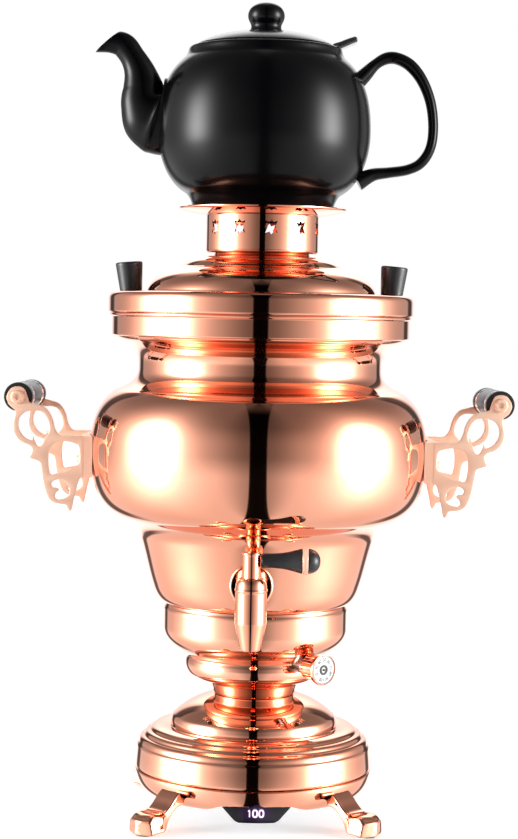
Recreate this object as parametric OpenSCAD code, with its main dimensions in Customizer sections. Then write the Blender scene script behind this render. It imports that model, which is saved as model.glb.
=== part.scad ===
// Electric samovar with a teapot on its crown.
// Origin: on the vertical axis at table level, +Z up, -Y to the front, +X to the right of a person facing it.
// All sizes in millimetres.

/* [Base] */
// Radius of the base at the seam between skirt and cover
base_r = 78.5; // [74:0.5:84]
// Height of that seam above the table
seam_h = 29.5; // [28:0.5:34]
// Drop from the seam to the skirt's straight lower edge
skirt_drop = 10.5; // [9.5:0.5:12]
// How far the skirt's lobes hang below that edge
lobe_drop = 2.3; // [1:0.1:3]
// How far the skirt draws in towards its lower edge
skirt_taper = 8; // [6:0.5:10]
// Height of the cover's straight wall
cover_wall_h = 15.5; // [13:0.5:18]
// Height of the whole cover, from the seam to the top of its neck
cover_h = 49; // [47:0.5:54]
// Radius of the cover's neck
neck_r = 26.5; // [24:0.5:28]
// Outer radius of the raised ring round the neck
ring_r = 53; // [50:0.5:56]
// Thickness of the copper sheet
sheet = 1.2; // [1:0.1:1.5]
// Thickness of the steel bottom plate
plate_t = 2; // [1.5:0.1:3]
// Turn of the base, with its feet and display, towards the right
base_turn = 2.4; // [-4:0.1:4]

/* [Feet] */
// Distance from the axis to the middle of a toe
toe_reach = 99; // [95:0.5:105]
// Length of a toe along its foot
toe_l = 19; // [16:0.5:21]
// Width of a toe
toe_w = 21; // [18:0.5:24]
// Height of a toe
toe_h = 12.5; // [11:0.5:14]
// Width of a leg
leg_w = 16; // [13:0.5:18]
// Radius of a rubber pad
pad_r = 6.5; // [5:0.5:7.5]
// Thickness of a rubber pad
pad_t = 2.4; // [2:0.1:3]
// Distance from the axis to a foot's screw
foot_screw_reach = 59; // [57:0.5:60]
// Radius of a foot's screw
foot_screw_r = 2.4; // [2:0.1:3]

/* [Display] */
// Half the width of the display at its top
display_top_w = 23.3; // [20:0.5:26]
// Half the width of the display at its bottom
display_low_w = 13.3; // [11:0.5:16]
// Height of the display's lower edge above the table
display_low_h = 7.8; // [7:0.1:10]
// Thickness of the display
display_t = 6; // [4:0.5:8]

/* [Electrical parts] */
// Size of the control board, left to right
board_w = 56; // [44:1:60]
// Size of the control board, front to back
board_d = 34; // [26:1:36]
// Height of the board's posts
post_h = 7; // [6:0.5:9]
// Radius of the hole for the mains cord
cord_hole_r = 4.1; // [3.5:0.1:5]
// Radius of the cord gland's body
gland_r = 7.5; // [6.5:0.1:8]
// Radius of the hollow stem that ties the base to the heater housing
stem_r = 8; // [7:0.5:10]
// Radius of the heating element's loop
element_r = 34; // [30:0.5:40]
// Radius of the heating element's tube
element_tube_r = 4; // [3:0.1:4.5]
// Height of the loop above the tank's floor
element_h = 11; // [10:0.5:14]

/* [Heater housing] */
// Height of the housing, from the neck to the tank
housing_h = 60.9; // [59:0.5:66]
// Radius of the housing's straight upper wall
housing_r = 60.2; // [59:0.1:62]
// Radius of the groove below the housing's upper wall
groove_r = 44.6; // [43:0.1:46]

/* [Tank] */
// Height of the bowl at the bottom of the tank
bowl_h = 45; // [43:0.5:48]
// Radius at the top of the bowl
waist_r = 77.7; // [76:0.5:80]
// Height of the bulb, from the bowl to the throat
bulb_h = 109; // [104:0.5:112]
// Greatest radius of the bulb
bulb_r = 111.3; // [110.5:0.1:112.5]
// Radius of the throat above the bulb
throat_r = 79.9; // [77:0.5:82]
// Height of the throat's straight part
throat_h = 7; // [5:0.5:9]
// Height of the flare from the throat to the band
flare_h = 14.8; // [13:0.5:17]
// Outer radius of the band round the tank's mouth
band_r = 98.2; // [97:0.1:99]
// Height of the band
band_h = 15.3; // [14:0.5:18]
// How far the bead at the band's top stands out
bead_out = 1.3; // [1:0.1:1.5]

/* [Tap] */
// Distance from the axis to the tap's turning axis
tap_reach = 103; // [101:0.5:106]
// Sideways place of the tap
tap_x = -2.9; // [-5:0.1:0]
// Height of the tap's inlet above the tank's floor
tap_h = 20.1; // [19:0.5:22]
// Radius of the tap's barrel
barrel_r = 9.8; // [9:0.1:10.5]
// Radius at the end of the spout
spout_r = 6; // [5.4:0.1:7]
// Radius of the water passage
tap_bore_r = 3.6; // [3:0.1:4]
// Radius of the turning plug
plug_r = 5.4; // [5:0.1:6]
// Height of the plug above the barrel
plug_up = 15.9; // [13:0.1:17]
// Length of the lever, from the plug to its tip
lever_l = 37; // [33:0.5:42]
// Radius of the lever where it meets the plug
lever_r = 4.4; // [4:0.1:4.8]
// Greatest radius of the lever
lever_end_r = 8.3; // [7:0.1:9]
// Radius of the flange against the tank
flange_r = 14; // [12:0.5:16]

/* [Thermostat] */
// Turn of the knob's place, from the front towards the right
knob_side = 40; // [30:1:50]
// Height of the knob's axis above the bottom of the housing
knob_h = 25.1; // [24.6:0.1:25.4]
// Radius of the knob's barrel
knob_r = 8; // [7:0.1:8.5]
// Radius of the knob's rim
knob_rim_r = 10.2; // [9:0.1:11]
// Length of the knob
knob_l = 14.5; // [13:0.5:17]
// Distance from the flared wall beside the knob to the knob's back
knob_gap = 4.2; // [4.2:0.1:6]
// Radius of the thermostat's shaft
shaft_r = 3; // [2.5:0.1:3.2]

/* [Side handles] */
// Distance from the axis to the middle of a grip
grip_reach = 156; // [150:0.5:165]
// Height of a grip above the middle of the bulb
grip_up = 33.5; // [30:0.5:38]
// Radius of a grip's end collars
grip_r = 9.4; // [8.5:0.1:10]
// Clear distance between the two scroll plates
plate_gap = 59.4; // [54:0.2:64]
// Thickness of a scroll plate
scroll_t = 2.6; // [2:0.1:3]
// Turn of each handle towards the rear
handle_turn = 2.7; // [0:0.1:5]
// Thickness of a bracket where it is thinnest, against the bulb
bracket_skin = 1.1; // [1:0.1:2]
// Thickness of the web between the scroll plates
web_t = 3.4; // [2.5:0.1:4.5]
// How far the bracket's screw lies below its middle
bolt_drop = 3.5; // [0:0.5:6]
// Height of a bracket
bracket_h = 27; // [24:0.5:28]

/* [Lid and crown] */
// Radius of the lid
lid_r = 100.6; // [100:0.1:102]
// Height of the lid's rim
lid_rim_h = 13.8; // [12:0.2:16]
// Height of the lid's dome above its rim
dome_h = 26.1; // [24:0.5:30]
// Distance from the axis to a lid knob
lid_knob_reach = 86; // [84:0.5:88]
// Height of a lid knob
lid_knob_h = 19.6; // [17:0.2:22]
// Radius of a lid knob at its top
lid_knob_r = 8.9; // [8:0.1:10]
// Outward tilt of a lid knob
lid_knob_tilt = 5; // [0:1:8]
// Radius of the crown's wall
crown_r = 37; // [35:0.5:39]
// Height of the crown's wall
crown_h = 26.4; // [24:0.5:30]
// Radius of the crown's dish
dish_r = 54.3; // [52:0.5:58]
// Rise of the dish from the wall to its edge
dish_rise = 3.4; // [3:0.1:4]
// Number of star-shaped vents
vents = 11; // [7:1:12]
// Height of a vent
vent_h = 10; // [8:0.5:12]

/* [Teapot] */
// Radius of the teapot's foot ring
pot_foot_r = 48.5; // [46:0.5:50]
// Greatest radius of the teapot
pot_r = 70; // [68:0.5:73]
// Height of the teapot, from its foot to its rim
pot_h = 105.2; // [102:0.5:110]
// Wall of the teapot
pot_wall = 4; // [3:0.1:5]
// Radius of the teapot's mouth
pot_mouth_r = 38; // [35:0.5:40]
// Half the thickness of the teapot's handle, seen from the side
pot_handle_r = 3.7; // [3:0.1:4.5]
// Half the width of the teapot's handle
pot_handle_w = 5.2; // [4:0.1:6]
// Radius of the teapot's lid
pot_lid_r = 46; // [44.5:0.1:47]
// Greatest radius of the knob on the teapot's lid
pot_knob_r = 11.7; // [10.5:0.1:13]
// Height of that knob
pot_knob_h = 19; // [17:0.2:24]
// Play of the collar under the teapot's lid, inside the strainer
pot_collar_play = 6.8; // [6:0.2:8]
// Depth of the tea strainer
strainer_depth = 64; // [50:1:70]
// Thickness of the strainer's steel
strainer_t = 0.8; // [0.6:0.1:1]

/* [Clearances] */
// Radial clearance of a turning fit
turn_gap = 0.05; // [0.03:0.01:0.09]
// Radial clearance round screws and pipes
hole_gap = 0.1; // [0.1:0.05:0.2]
// Clearance of parts that lift off
lift_gap = 0.4; // [0.3:0.1:0.6]

/* [Hidden] */
$fn = 64;

// finishes
COPPER = [0.88, 0.58, 0.45];
BLACK = [0.07, 0.07, 0.08];
STEEL = [0.72, 0.73, 0.75];
BRASS = [0.80, 0.62, 0.32];
GREEN = [0.10, 0.35, 0.18];
RUBBER = [0.14, 0.14, 0.14];
WHITE = [0.94, 0.94, 0.92];

// levels, from the table up
plate_z = seam_h - skirt_drop + sheet;     // underside of the bottom plate, on the skirt's lip
neck_z = seam_h + cover_h;                 // top of the cover's neck, bottom of the housing
tank_z = neck_z + housing_h;               // bottom of the tank
waist_z = tank_z + bowl_h;
bulb_z = waist_z + 0.515 * bulb_h;         // level of the bulb's widest ring
throat_z = waist_z + bulb_h;
band_z = throat_z + throat_h + flare_h;
mouth_z = band_z + band_h;                 // top of the band, seat of the lid
lid_top_z = mouth_z + lid_rim_h;
crown_z = lid_top_z + dome_h;              // seat of the crown
dish_z = crown_z + crown_h;                // top of the crown's wall, start of the dish
pot_z = dish_z + dish_rise * (pot_foot_r - crown_r) / (dish_r - crown_r) + 0.1;
rim_z = pot_z + pot_h;                     // rim of the teapot, seat of the strainer
pot_lid_z = rim_z + strainer_t;            // seat of the teapot's lid
knob_z = neck_z + knob_h;
flare_r = 0.6 * groove_r + 0.4 * housing_r; // radius of the flared wall beside the knob
knob_back = flare_r + knob_gap;
tap_z = tank_z + tap_h;
bracket_z = bulb_z - 4.6;                  // middle of a bracket
grip_z = bulb_z + grip_up;
bracket_face = bulb_r + bracket_skin;      // distance from the axis to a bracket's flat face

// ---- outlines -------------------------------------------------------------------------------------

// Cubic curve from a to d, drawn towards b and c, without its first point
function curve(a, b, c, d, n = 8) = [for (i = [1:n]) let (t = i / n, s = 1 - t)
    s * s * s * a + 3 * s * s * t * b + 3 * s * t * t * c + t * t * t * d];

// Closed smooth outline through the points p, with n steps between two points
function spline(p, n = 4) = [for (i = [0:len(p) - 1], k = [0:n - 1])
    let (m = len(p), a = p[(i + m - 1) % m], b = p[i], c = p[(i + 1) % m], d = p[(i + 2) % m], t = k / n)
    0.5 * (2 * b + t * (c - a) + t * t * (2 * a - 5 * b + 4 * c - d) + t * t * t * (3 * b - a - 3 * c + d))];

// Open smooth line through the points p
function open_spline(p, n = 4) = concat([for (i = [0:len(p) - 2], k = [0:n - 1])
    let (a = p[max(i - 1, 0)], b = p[i], c = p[i + 1], d = p[min(i + 2, len(p) - 1)], t = k / n)
    0.5 * (2 * b + t * (c - a) + t * t * (2 * a - 5 * b + 4 * c - d) + t * t * t * (3 * b - a - 3 * c + d))],
    [p[len(p) - 1]]);

function unit(v) = v / norm(v);
function left_of(v) = [-v[1], v[0]];

// Where vertex i of the line p moves when the line is shifted to its left by 1
function mitre(p, i) = let (
    before = left_of(unit(p[max(i, 1)] - p[max(i, 1) - 1])),
    after = left_of(unit(p[min(i, len(p) - 2) + 1] - p[min(i, len(p) - 2)])))
    (before + after) / (1 + before * after);

// Outline of a sheet of thickness t that follows the line p and lies on its left
function sheet_outline(p, t) = concat(p, [for (i = [len(p) - 1:-1:0]) p[i] + t * mitre(p, i)]);

module turned_sheet(p, t) rotate_extrude($fn = 128) polygon(sheet_outline(p, t));

// Tube of elliptical section that follows a line in the XZ plane. Each stop is [x, z, half_thickness,
// half_width].
module swept(stops, sides = 16) {
    count = len(stops);
    points = [for (i = [0:count - 1]) let (
            here = stops[i],
            ahead = stops[min(i + 1, count - 1)],
            behind = stops[max(i - 1, 0)],
            along = unit([ahead[0] - behind[0], ahead[1] - behind[1]]),
            across = left_of(along))
        for (k = [0:sides - 1]) let (a = 360 * k / sides)
            [here[0] + here[2] * cos(a) * across[0], here[3] * sin(a), here[1] + here[2] * cos(a) * across[1]]];
    faces = concat(
        [[for (k = [sides - 1:-1:0]) k]],
        [[for (k = [0:sides - 1]) (count - 1) * sides + k]],
        [for (i = [0:count - 2], k = [0:sides - 1]) let (a = i * sides + k, b = i * sides + (k + 1) % sides)
            [a, b, b + sides, a + sides]]);
    polyhedron(points, faces, convexity = 6);
}

module ring(r_out, r_in, h) {
    difference() {
        cylinder(r = r_out, h = h);
        translate([0, 0, -1]) cylinder(r = r_in, h = h + 2);
    }
}

module hex_nut(across, bore, h) {
    difference() {
        cylinder(r = across, h = h, $fn = 6);
        translate([0, 0, -1]) cylinder(r = bore, h = h + 2);
    }
}

// ---- base ------------------------------------------------------------------------------------------

FOOT_TURNS = [for (a = [225, 315, 135, 45]) a + base_turn];
skirt_low_r = base_r - skirt_taper;
skirt_low_z = seam_h - skirt_drop;
skirt_line = concat(
    [[skirt_low_r - 6, skirt_low_z], [skirt_low_r - 0.4, skirt_low_z]],
    curve([skirt_low_r, skirt_low_z], [skirt_low_r + 4.4, skirt_low_z + 2.6], [base_r - 0.6, skirt_low_z + 5],
        [base_r, seam_h - 0.6], 6),
    [[base_r, seam_h]]);

// lobes of the skirt, each hanging between a foot and the straight part
module skirt_lobe(turn) {
    rotate([0, 0, turn]) rotate_extrude(angle = 26, start = -13, $fn = 128)
        polygon([[skirt_low_r - 0.9, skirt_low_z - lobe_drop], [skirt_low_r - 0.3, skirt_low_z - lobe_drop],
            [skirt_low_r + 0.3, skirt_low_z + 0.4], [skirt_low_r - 0.9, skirt_low_z + 0.4]]);
}

module base_skirt() color(COPPER) {
    difference() {
        union() {
            turned_sheet(skirt_line, sheet);
            for (side = [-1, 1], turn = [0, 90, 180, 270]) skirt_lobe(base_turn + turn + side * 24.5);
        }
        for (turn = FOOT_TURNS) rotate([0, 0, turn]) leg_notch();
        // room for the display
        rotate([0, 0, base_turn]) {
            translate([0, -skirt_low_r, plate_z - 5]) cube([2 * display_top_w + 0.6, 18, 10.4], center = true);
            translate([0, -skirt_low_r - 2, skirt_low_z - 0.5]) rotate([90, 0, 0])
                linear_extrude(12, center = true) bump_outline();
        }
    }
}

// small ogee bump in the skirt's lower edge, above the display
module bump_outline() polygon(concat([[-6, -1], [6, -1]],
    curve([6, 0.5], [3, 0.6], [2.4, 3.6], [0, 3.7], 5), curve([0, 3.7], [-2.4, 3.6], [-3, 0.6], [-6, 0.5], 5)));

wall_top = seam_h + cover_wall_h;
// from the seam up the wall, over two low ridges to the raised ring, and over the dome to the neck
cover_line = concat(
    [[base_r - 0.05, seam_h + 0.05], [base_r - 1.1, wall_top]],
    curve([base_r - 1.1, wall_top], [base_r - 0.9, wall_top + 2], [base_r - 1.3, wall_top + 3.8],
        [base_r - 2.9, wall_top + 4.8], 5),
    curve([base_r - 2.9, wall_top + 4.8], [base_r - 4.1, wall_top + 5.2], [base_r - 4.2, wall_top + 6],
        [base_r - 4.9, wall_top + 6.7], 4),
    curve([base_r - 4.9, wall_top + 6.7], [base_r - 5.7, wall_top + 8], [base_r - 7.1, wall_top + 8.9],
        [base_r - 9.1, wall_top + 9], 5),
    curve([base_r - 9.1, wall_top + 9], [base_r - 10.3, wall_top + 9.1], [base_r - 10.6, wall_top + 9.9],
        [base_r - 11.3, wall_top + 10.8], 4),
    curve([base_r - 11.3, wall_top + 10.8], [base_r - 12.5, wall_top + 12.4], [ring_r + 9.5, wall_top + 13.3],
        [ring_r + 6, wall_top + 13.2], 6),
    curve([ring_r + 6, wall_top + 13.2], [ring_r + 4, wall_top + 13.1], [ring_r + 2.6, wall_top + 12.4],
        [ring_r + 1.8, wall_top + 13.2], 5),
    curve([ring_r + 1.8, wall_top + 13.2], [ring_r + 1.9, wall_top + 16], [ring_r + 1.2, neck_z - 13.9],
        [ring_r - 1, neck_z - 11.5], 7),
    curve([ring_r - 1, neck_z - 11.5], [ring_r - 6, neck_z - 6.9], [neck_r + 11.5, neck_z - 3.1],
        [neck_r + 3.5, neck_z - 1.3], 9),
    [[neck_r + 1.5, neck_z - 0.6], [neck_r, neck_z], [stem_r + hole_gap, neck_z]]);

module base_cover() color(COPPER) {
    difference() {
        turned_sheet(cover_line, sheet);
        at_gland() translate([0, 0, -12]) cylinder(r = gland_r + hole_gap, h = 24);
    }
}

module bottom_plate() color(STEEL) {
    difference() {
        translate([0, 0, plate_z]) cylinder(r = skirt_low_r - sheet - 0.3, h = plate_t, $fn = 128);
        for (turn = FOOT_TURNS) rotate([0, 0, turn]) translate([foot_screw_reach, 0, 0])
            cylinder(r = foot_screw_r + hole_gap, h = 60);
    }
}

// ---- feet --------------------------------------------------------------------------------------------

toe_tip = toe_reach + toe_l / 2;
toe_heel = toe_reach - toe_l / 2;
sole_z = 1;
tongue_z = plate_z - 7;                 // underside of the tongue that the screw holds
leg_top_r = base_r - 2.6;
leg_top_z = seam_h - 3.4;

// the leg passes through the skirt here
module leg_notch() translate([skirt_low_r - 12, -leg_w / 2 - hole_gap, -1])
    cube([30, leg_w + 2 * hole_gap, leg_top_z + 1 + hole_gap]);

function foot_side() = concat(
    [[foot_screw_reach - 6, tongue_z], [foot_screw_reach - 6, plate_z], [skirt_low_r - sheet, plate_z],
        [skirt_low_r - sheet, leg_top_z - 1.5], [leg_top_r - 2, leg_top_z]],
    curve([leg_top_r - 2, leg_top_z], [leg_top_r + 7, leg_top_z - 1], [toe_heel - 3, toe_h + 2],
        [toe_heel + 3, toe_h + 0.6], 8),
    curve([toe_heel + 3, toe_h + 0.6], [toe_heel + 5, toe_h + 1], [toe_reach + 4, toe_h + 0.5],
        [toe_reach + 4.4, toe_h - 0.6], 4),
    curve([toe_reach + 4.4, toe_h - 0.6], [toe_tip - 1.6, toe_h - 3], [toe_tip, sole_z + 5],
        [toe_tip, sole_z + 1.5], 6),
    [[toe_tip - 1.4, sole_z], [toe_heel + 1, sole_z]],
    curve([toe_heel + 1, sole_z], [toe_heel - 1, sole_z + 4], [toe_heel - 3, sole_z + 8.6],
        [toe_heel - 9, sole_z + 12.4], 6),
    curve([toe_heel - 9, sole_z + 12.4], [toe_heel - 13, sole_z + 15], [skirt_low_r + 2, tongue_z + 2],
        [skirt_low_r - 3, tongue_z], 5));

module foot_plan() {
    translate([foot_screw_reach - 6, -leg_w / 2]) square([toe_heel - foot_screw_reach + 6, leg_w]);
    polygon(concat(
        curve([toe_heel - 9, -leg_w / 2], [toe_heel - 4, -leg_w / 2], [toe_heel - 2, -toe_w / 2],
            [toe_heel + 3, -toe_w / 2], 6),
        curve([toe_reach + 2, -toe_w / 2], [toe_tip - 1, -toe_w / 2], [toe_tip, -toe_w / 4], [toe_tip, 0], 6),
        curve([toe_tip, 0], [toe_tip, toe_w / 4], [toe_tip - 1, toe_w / 2], [toe_reach + 2, toe_w / 2], 6),
        curve([toe_heel + 3, toe_w / 2], [toe_heel - 2, toe_w / 2], [toe_heel - 4, leg_w / 2],
            [toe_heel - 9, leg_w / 2], 6)));
}

module foot(turn) color(COPPER) rotate([0, 0, turn]) {
    difference() {
        intersection() {
            rotate([90, 0, 0]) linear_extrude(toe_w + 10, center = true) polygon(foot_side());
            linear_extrude(80, center = true) foot_plan();
        }
        translate([toe_reach, 0, -1]) cylinder(r = pad_r + hole_gap, h = pad_t + 1);
        translate([foot_screw_reach, 0, tongue_z - 1]) cylinder(r = foot_screw_r + turn_gap, h = 30);
    }
}

module foot_front_left() foot(FOOT_TURNS[0]);
module foot_front_right() foot(FOOT_TURNS[1]);
module foot_rear_left() foot(FOOT_TURNS[2]);
module foot_rear_right() foot(FOOT_TURNS[3]);

module foot_pads() color(RUBBER) for (turn = FOOT_TURNS) rotate([0, 0, turn])
    translate([toe_reach, 0, 0]) cylinder(r = pad_r, h = pad_t);

module foot_screws() color(STEEL) for (turn = FOOT_TURNS) rotate([0, 0, turn])
    translate([foot_screw_reach, 0, 0]) {
    translate([0, 0, tongue_z + 0.5]) cylinder(r = foot_screw_r, h = plate_z + plate_t - tongue_z - 0.5);
    translate([0, 0, plate_z + plate_t]) cylinder(r = 2 * foot_screw_r, h = 2.6);
}

// ---- what the base holds ---------------------------------------------------------------------------

display_front = skirt_low_r + 1.4;

module display_panel() color(BLACK) rotate([0, 0, base_turn]) {
    intersection() {
        translate([0, -display_front + display_t, 0]) rotate([90, 0, 0]) linear_extrude(display_t)
            polygon(concat(
                [[-display_top_w, plate_z], [-display_top_w, skirt_low_z - 0.6]],
                curve([-display_low_w - 1, display_low_h + 1.4], [-display_low_w, display_low_h + 0.5],
                    [-display_low_w + 0.6, display_low_h + 0.2], [-display_low_w + 2, display_low_h], 4),
                curve([display_low_w - 2, display_low_h], [display_low_w - 0.6, display_low_h + 0.2],
                    [display_low_w, display_low_h + 0.5], [display_low_w + 1, display_low_h + 1.4], 4),
                [[display_top_w, skirt_low_z - 0.6], [display_top_w, plate_z]]));
        // its face follows the skirt's curve
        cylinder(r = display_front, h = 60, $fn = 128);
    }
}

board_z = plate_z + plate_t + post_h;
board_back = -14;

module control_board() color(GREEN) translate([-board_w / 2, board_back - board_d, board_z]) {
    cube([board_w, board_d, 1.6]);
    // relay, terminal block and capacitor
    translate([0.14 * board_w, 0.18 * board_d, 1.6]) cube([0.28 * board_w, 0.35 * board_d, 0.16 * board_w]);
    translate([0.54 * board_w, 0.15 * board_d, 1.6]) cube([0.36 * board_w, 0.26 * board_d, 0.14 * board_w]);
    translate([0.72 * board_w, 0.7 * board_d, 1.6]) cylinder(r = 0.09 * board_w, h = 0.2 * board_w);
}

module board_posts() color(BRASS) for (x = [-1, 1], y = [0, 1])
    translate([x * (board_w / 2 - 5), board_back - 5 - y * (board_d - 10), plate_z + plate_t])
        cylinder(r = 3, h = post_h);

gland_z = seam_h + 9.5;

module at_gland() translate([0, base_r, gland_z]) rotate([-90, 0, 0]) children();

module cord_gland() color(BLACK) at_gland() difference() {
    union() {
        translate([0, 0, -10]) cylinder(r = gland_r, h = 12);
        translate([0, 0, 0]) cylinder(r = gland_r + 2.4, h = 2.4);
        translate([0, 0, 2.4]) cylinder(r1 = gland_r, r2 = gland_r - 1.6, h = 4);
    }
    translate([0, 0, -11]) cylinder(r = cord_hole_r, h = 20);
}

module gland_nut() color(STEEL) at_gland() translate([0, 0, -7.6])
    hex_nut(gland_r + 3, gland_r + turn_gap, 4.4);

stem_low_z = neck_z - sheet - 9;
stem_top_z = neck_z + sheet + 9;

module stem_tube() color(STEEL) translate([0, 0, stem_low_z])
    ring(stem_r, stem_r - 1.5, stem_top_z - stem_low_z);

module stem_nuts() color(STEEL) {
    translate([0, 0, neck_z - sheet - 5]) hex_nut(stem_r + 5, stem_r + turn_gap, 5);
    translate([0, 0, neck_z + sheet]) hex_nut(stem_r + 5, stem_r + turn_gap, 5);
}

// ---- heater housing ---------------------------------------------------------------------------------

groove_z = neck_z + 25.1;
housing_line = concat(
    [[stem_r + hole_gap, neck_z], [neck_r, neck_z]],
    curve([neck_r, neck_z], [neck_r + 1, neck_z + 3], [neck_r + 2.6, neck_z + 6],
        [neck_r + 3.4, neck_z + 8.4], 4),
    curve([neck_r + 3.4, neck_z + 8.4], [neck_r + 9, neck_z + 10.4], [groove_r - 0.6, neck_z + 11],
        [groove_r + 1, neck_z + 16.8], 6),
    curve([groove_r + 1, neck_z + 16.8], [groove_r + 2, neck_z + 20.6], [groove_r + 1.4, groove_z - 2],
        [groove_r, groove_z], 5),
    curve([groove_r, groove_z], [groove_r + 4, groove_z + 3.6], [housing_r, groove_z + 11],
        [housing_r, groove_z + 19], 10),
    [[housing_r, tank_z - 3], [housing_r - 0.9, tank_z - 2], [housing_r - 0.9, tank_z]],
    [[housing_r - 9, tank_z]]);

module heater_housing() color(COPPER) {
    difference() {
        turned_sheet(housing_line, sheet);
        at_knob() translate([0, 0, groove_r - 10]) cylinder(r = bush_r + hole_gap, h = 20);
    }
}

// ---- tank -------------------------------------------------------------------------------------------

neck_wall_r = band_r - sheet - 0.05;     // outside of the tank's mouth, inside the band
bowl_line = concat(
    [[0, tank_z], [housing_r - 0.4, tank_z]],
    curve([housing_r - 0.4, tank_z], [housing_r + 4.6, tank_z + 0.6], [housing_r + 7, tank_z + 7],
        [waist_r - 9.2, tank_z + 13], 7),
    curve([waist_r - 9.2, tank_z + 13], [waist_r - 6.6, tank_z + 21], [waist_r - 4.6, waist_z - 14],
        [waist_r, waist_z], 6));
bulb_line = concat(
    [[waist_r, waist_z]],
    curve([waist_r, waist_z], [waist_r + 4, waist_z + 10], [waist_r + 9, waist_z + 11.6],
        [waist_r + 15.6, waist_z + 13.4], 7),
    curve([waist_r + 15.6, waist_z + 13.4], [bulb_r - 6, waist_z + 19.4], [bulb_r, waist_z + 0.3 * bulb_h],
        [bulb_r, bulb_z], 12),
    curve([bulb_r, bulb_z], [bulb_r, bulb_z + 21], [bulb_r - 6.4, throat_z - 20.6],
        [throat_r + 14.6, throat_z - 13.4], 12),
    curve([throat_r + 14.6, throat_z - 13.4], [throat_r + 6, throat_z - 10.6], [throat_r, throat_z - 6],
        [throat_r, throat_z], 8),
    curve([throat_r, throat_z + throat_h], [throat_r, band_z - 8], [throat_r + 8, band_z - 4],
        [neck_wall_r - 1, band_z], 8),
    [[neck_wall_r, band_z + 0.6], [neck_wall_r, mouth_z - sheet]]);

function element_angles() = [60, 120];

// floor and bowl of the tank, up to the crease where the bulb is soldered on
module tank_bowl() color(COPPER) difference() {
    turned_sheet(bowl_line, sheet);
    at_tap() cylinder(r = pipe_r + hole_gap, h = 60, center = true);
    for (a = element_angles()) rotate([0, 0, a]) translate([element_r, 0, tank_z - 5])
        cylinder(r = element_tube_r + hole_gap, h = 10);
}

// bulb, throat and mouth of the tank
module tank() color(COPPER) difference() {
    turned_sheet(bulb_line, sheet);
    for (side = [-1, 1]) on_side(side) at_bolt() translate([0, 0, -14])
        cylinder(r = bolt_r + hole_gap, h = 20);
}

module rim_band() color(COPPER) rotate_extrude($fn = 128) polygon(concat(
    [[band_r - sheet, band_z], [band_r, band_z + 0.6], [band_r, mouth_z - 2.6]],
    curve([band_r, mouth_z - 2.6], [band_r + bead_out * 1.3, mouth_z - 2.6], [band_r + bead_out * 1.3, mouth_z],
        [band_r + 0.4, mouth_z], 6),
    [[neck_wall_r - sheet, mouth_z], [neck_wall_r - sheet, mouth_z - sheet],
        [band_r - sheet, mouth_z - sheet]]));

module heating_element() color(STEEL) translate([0, 0, tank_z + sheet + element_h]) {
    rotate([0, 0, element_angles()[1]]) rotate_extrude(angle = 300, $fn = 96)
        translate([element_r, 0]) circle(r = element_tube_r, $fn = 32);
    for (a = element_angles()) rotate([0, 0, a]) translate([element_r, 0, 0]) {
        translate([0, 0, -element_h - sheet - 12]) cylinder(r = element_tube_r, h = element_h + sheet + 12);
        sphere(r = element_tube_r);
    }
}

module element_nuts() color(BRASS) for (a = element_angles()) rotate([0, 0, a])
    translate([element_r, 0, tank_z - 5]) hex_nut(element_tube_r + 4, element_tube_r + turn_gap, 5);

module thermal_cutout() color(STEEL) translate([0, 0, tank_z - 7]) cylinder(r = 11, h = 7);

// ---- thermostat and its knob -------------------------------------------------------------------------

bush_r = shaft_r + 2;
body_front = groove_r - 4;              // distance from the axis to the front of the thermostat's body

module at_knob() rotate([0, 0, knob_side - 90]) translate([0, 0, knob_z]) rotate([0, 90, 0]) children();

module thermostat() color(STEEL) at_knob() difference() {
    union() {
        translate([-10, -10, body_front - 16]) cube([20, 20, 16]);
        cylinder(r = bush_r + 2, h = groove_r - sheet - 0.8);
        cylinder(r = bush_r, h = knob_back - 0.6);
    }
    translate([0, 0, -1]) cylinder(r = bush_r + 4, h = body_front - 15);
    cylinder(r = shaft_r + turn_gap, h = 80);
}

module thermostat_nut() color(STEEL) at_knob() translate([0, 0, knob_back - 2.4])
    ring(bush_r + 1.4, bush_r + turn_gap, 1.8);

module knob_shaft() color(STEEL) at_knob() translate([0, 0, body_front - 10])
    cylinder(r = shaft_r, h = knob_back + 9 - body_front + 10);

flutes = 24;
module knob() color(COPPER) at_knob() difference() {
    union() {
        translate([0, 0, knob_back]) cylinder(r = knob_r, h = knob_l - 3);
        translate([0, 0, knob_back + knob_l - 3]) cylinder(r = knob_rim_r, h = 3);
    }
    for (k = [0:flutes - 1]) rotate([0, 0, 360 * k / flutes])
        translate([knob_r + 0.4, 0, knob_back - 1]) cylinder(r = 0.8, h = knob_l - 3);
    translate([0, 0, knob_back - 1]) cylinder(r = shaft_r + turn_gap, h = 10);
    translate([0, 0, knob_back + knob_l - 1.2]) cylinder(r = knob_rim_r - 0.8, h = 3);
}

module knob_dial() color(WHITE) at_knob() translate([0, 0, knob_back + knob_l - 1.2]) {
    cylinder(r = knob_rim_r - 0.8, h = 0.8);
    ring(3.4, 2.3, 1.4);
    cylinder(r = 1.5, h = 1.4);
}

// ---- tap ---------------------------------------------------------------------------------------------

pipe_r = tap_bore_r + 2.4;
spout_z = tap_z - 36.2;
barrel_top_z = tap_z + 9.1;
plug_top_z = barrel_top_z + plug_up;
lever_z = plug_top_z - 5;
bowl_surface_r = waist_r - 6.3;          // radius of the bowl at the tap's height
pipe_inner = bowl_surface_r - 9;

module at_tap() translate([tap_x, -bowl_surface_r, tap_z]) rotate([90, 0, 0]) children();

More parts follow.
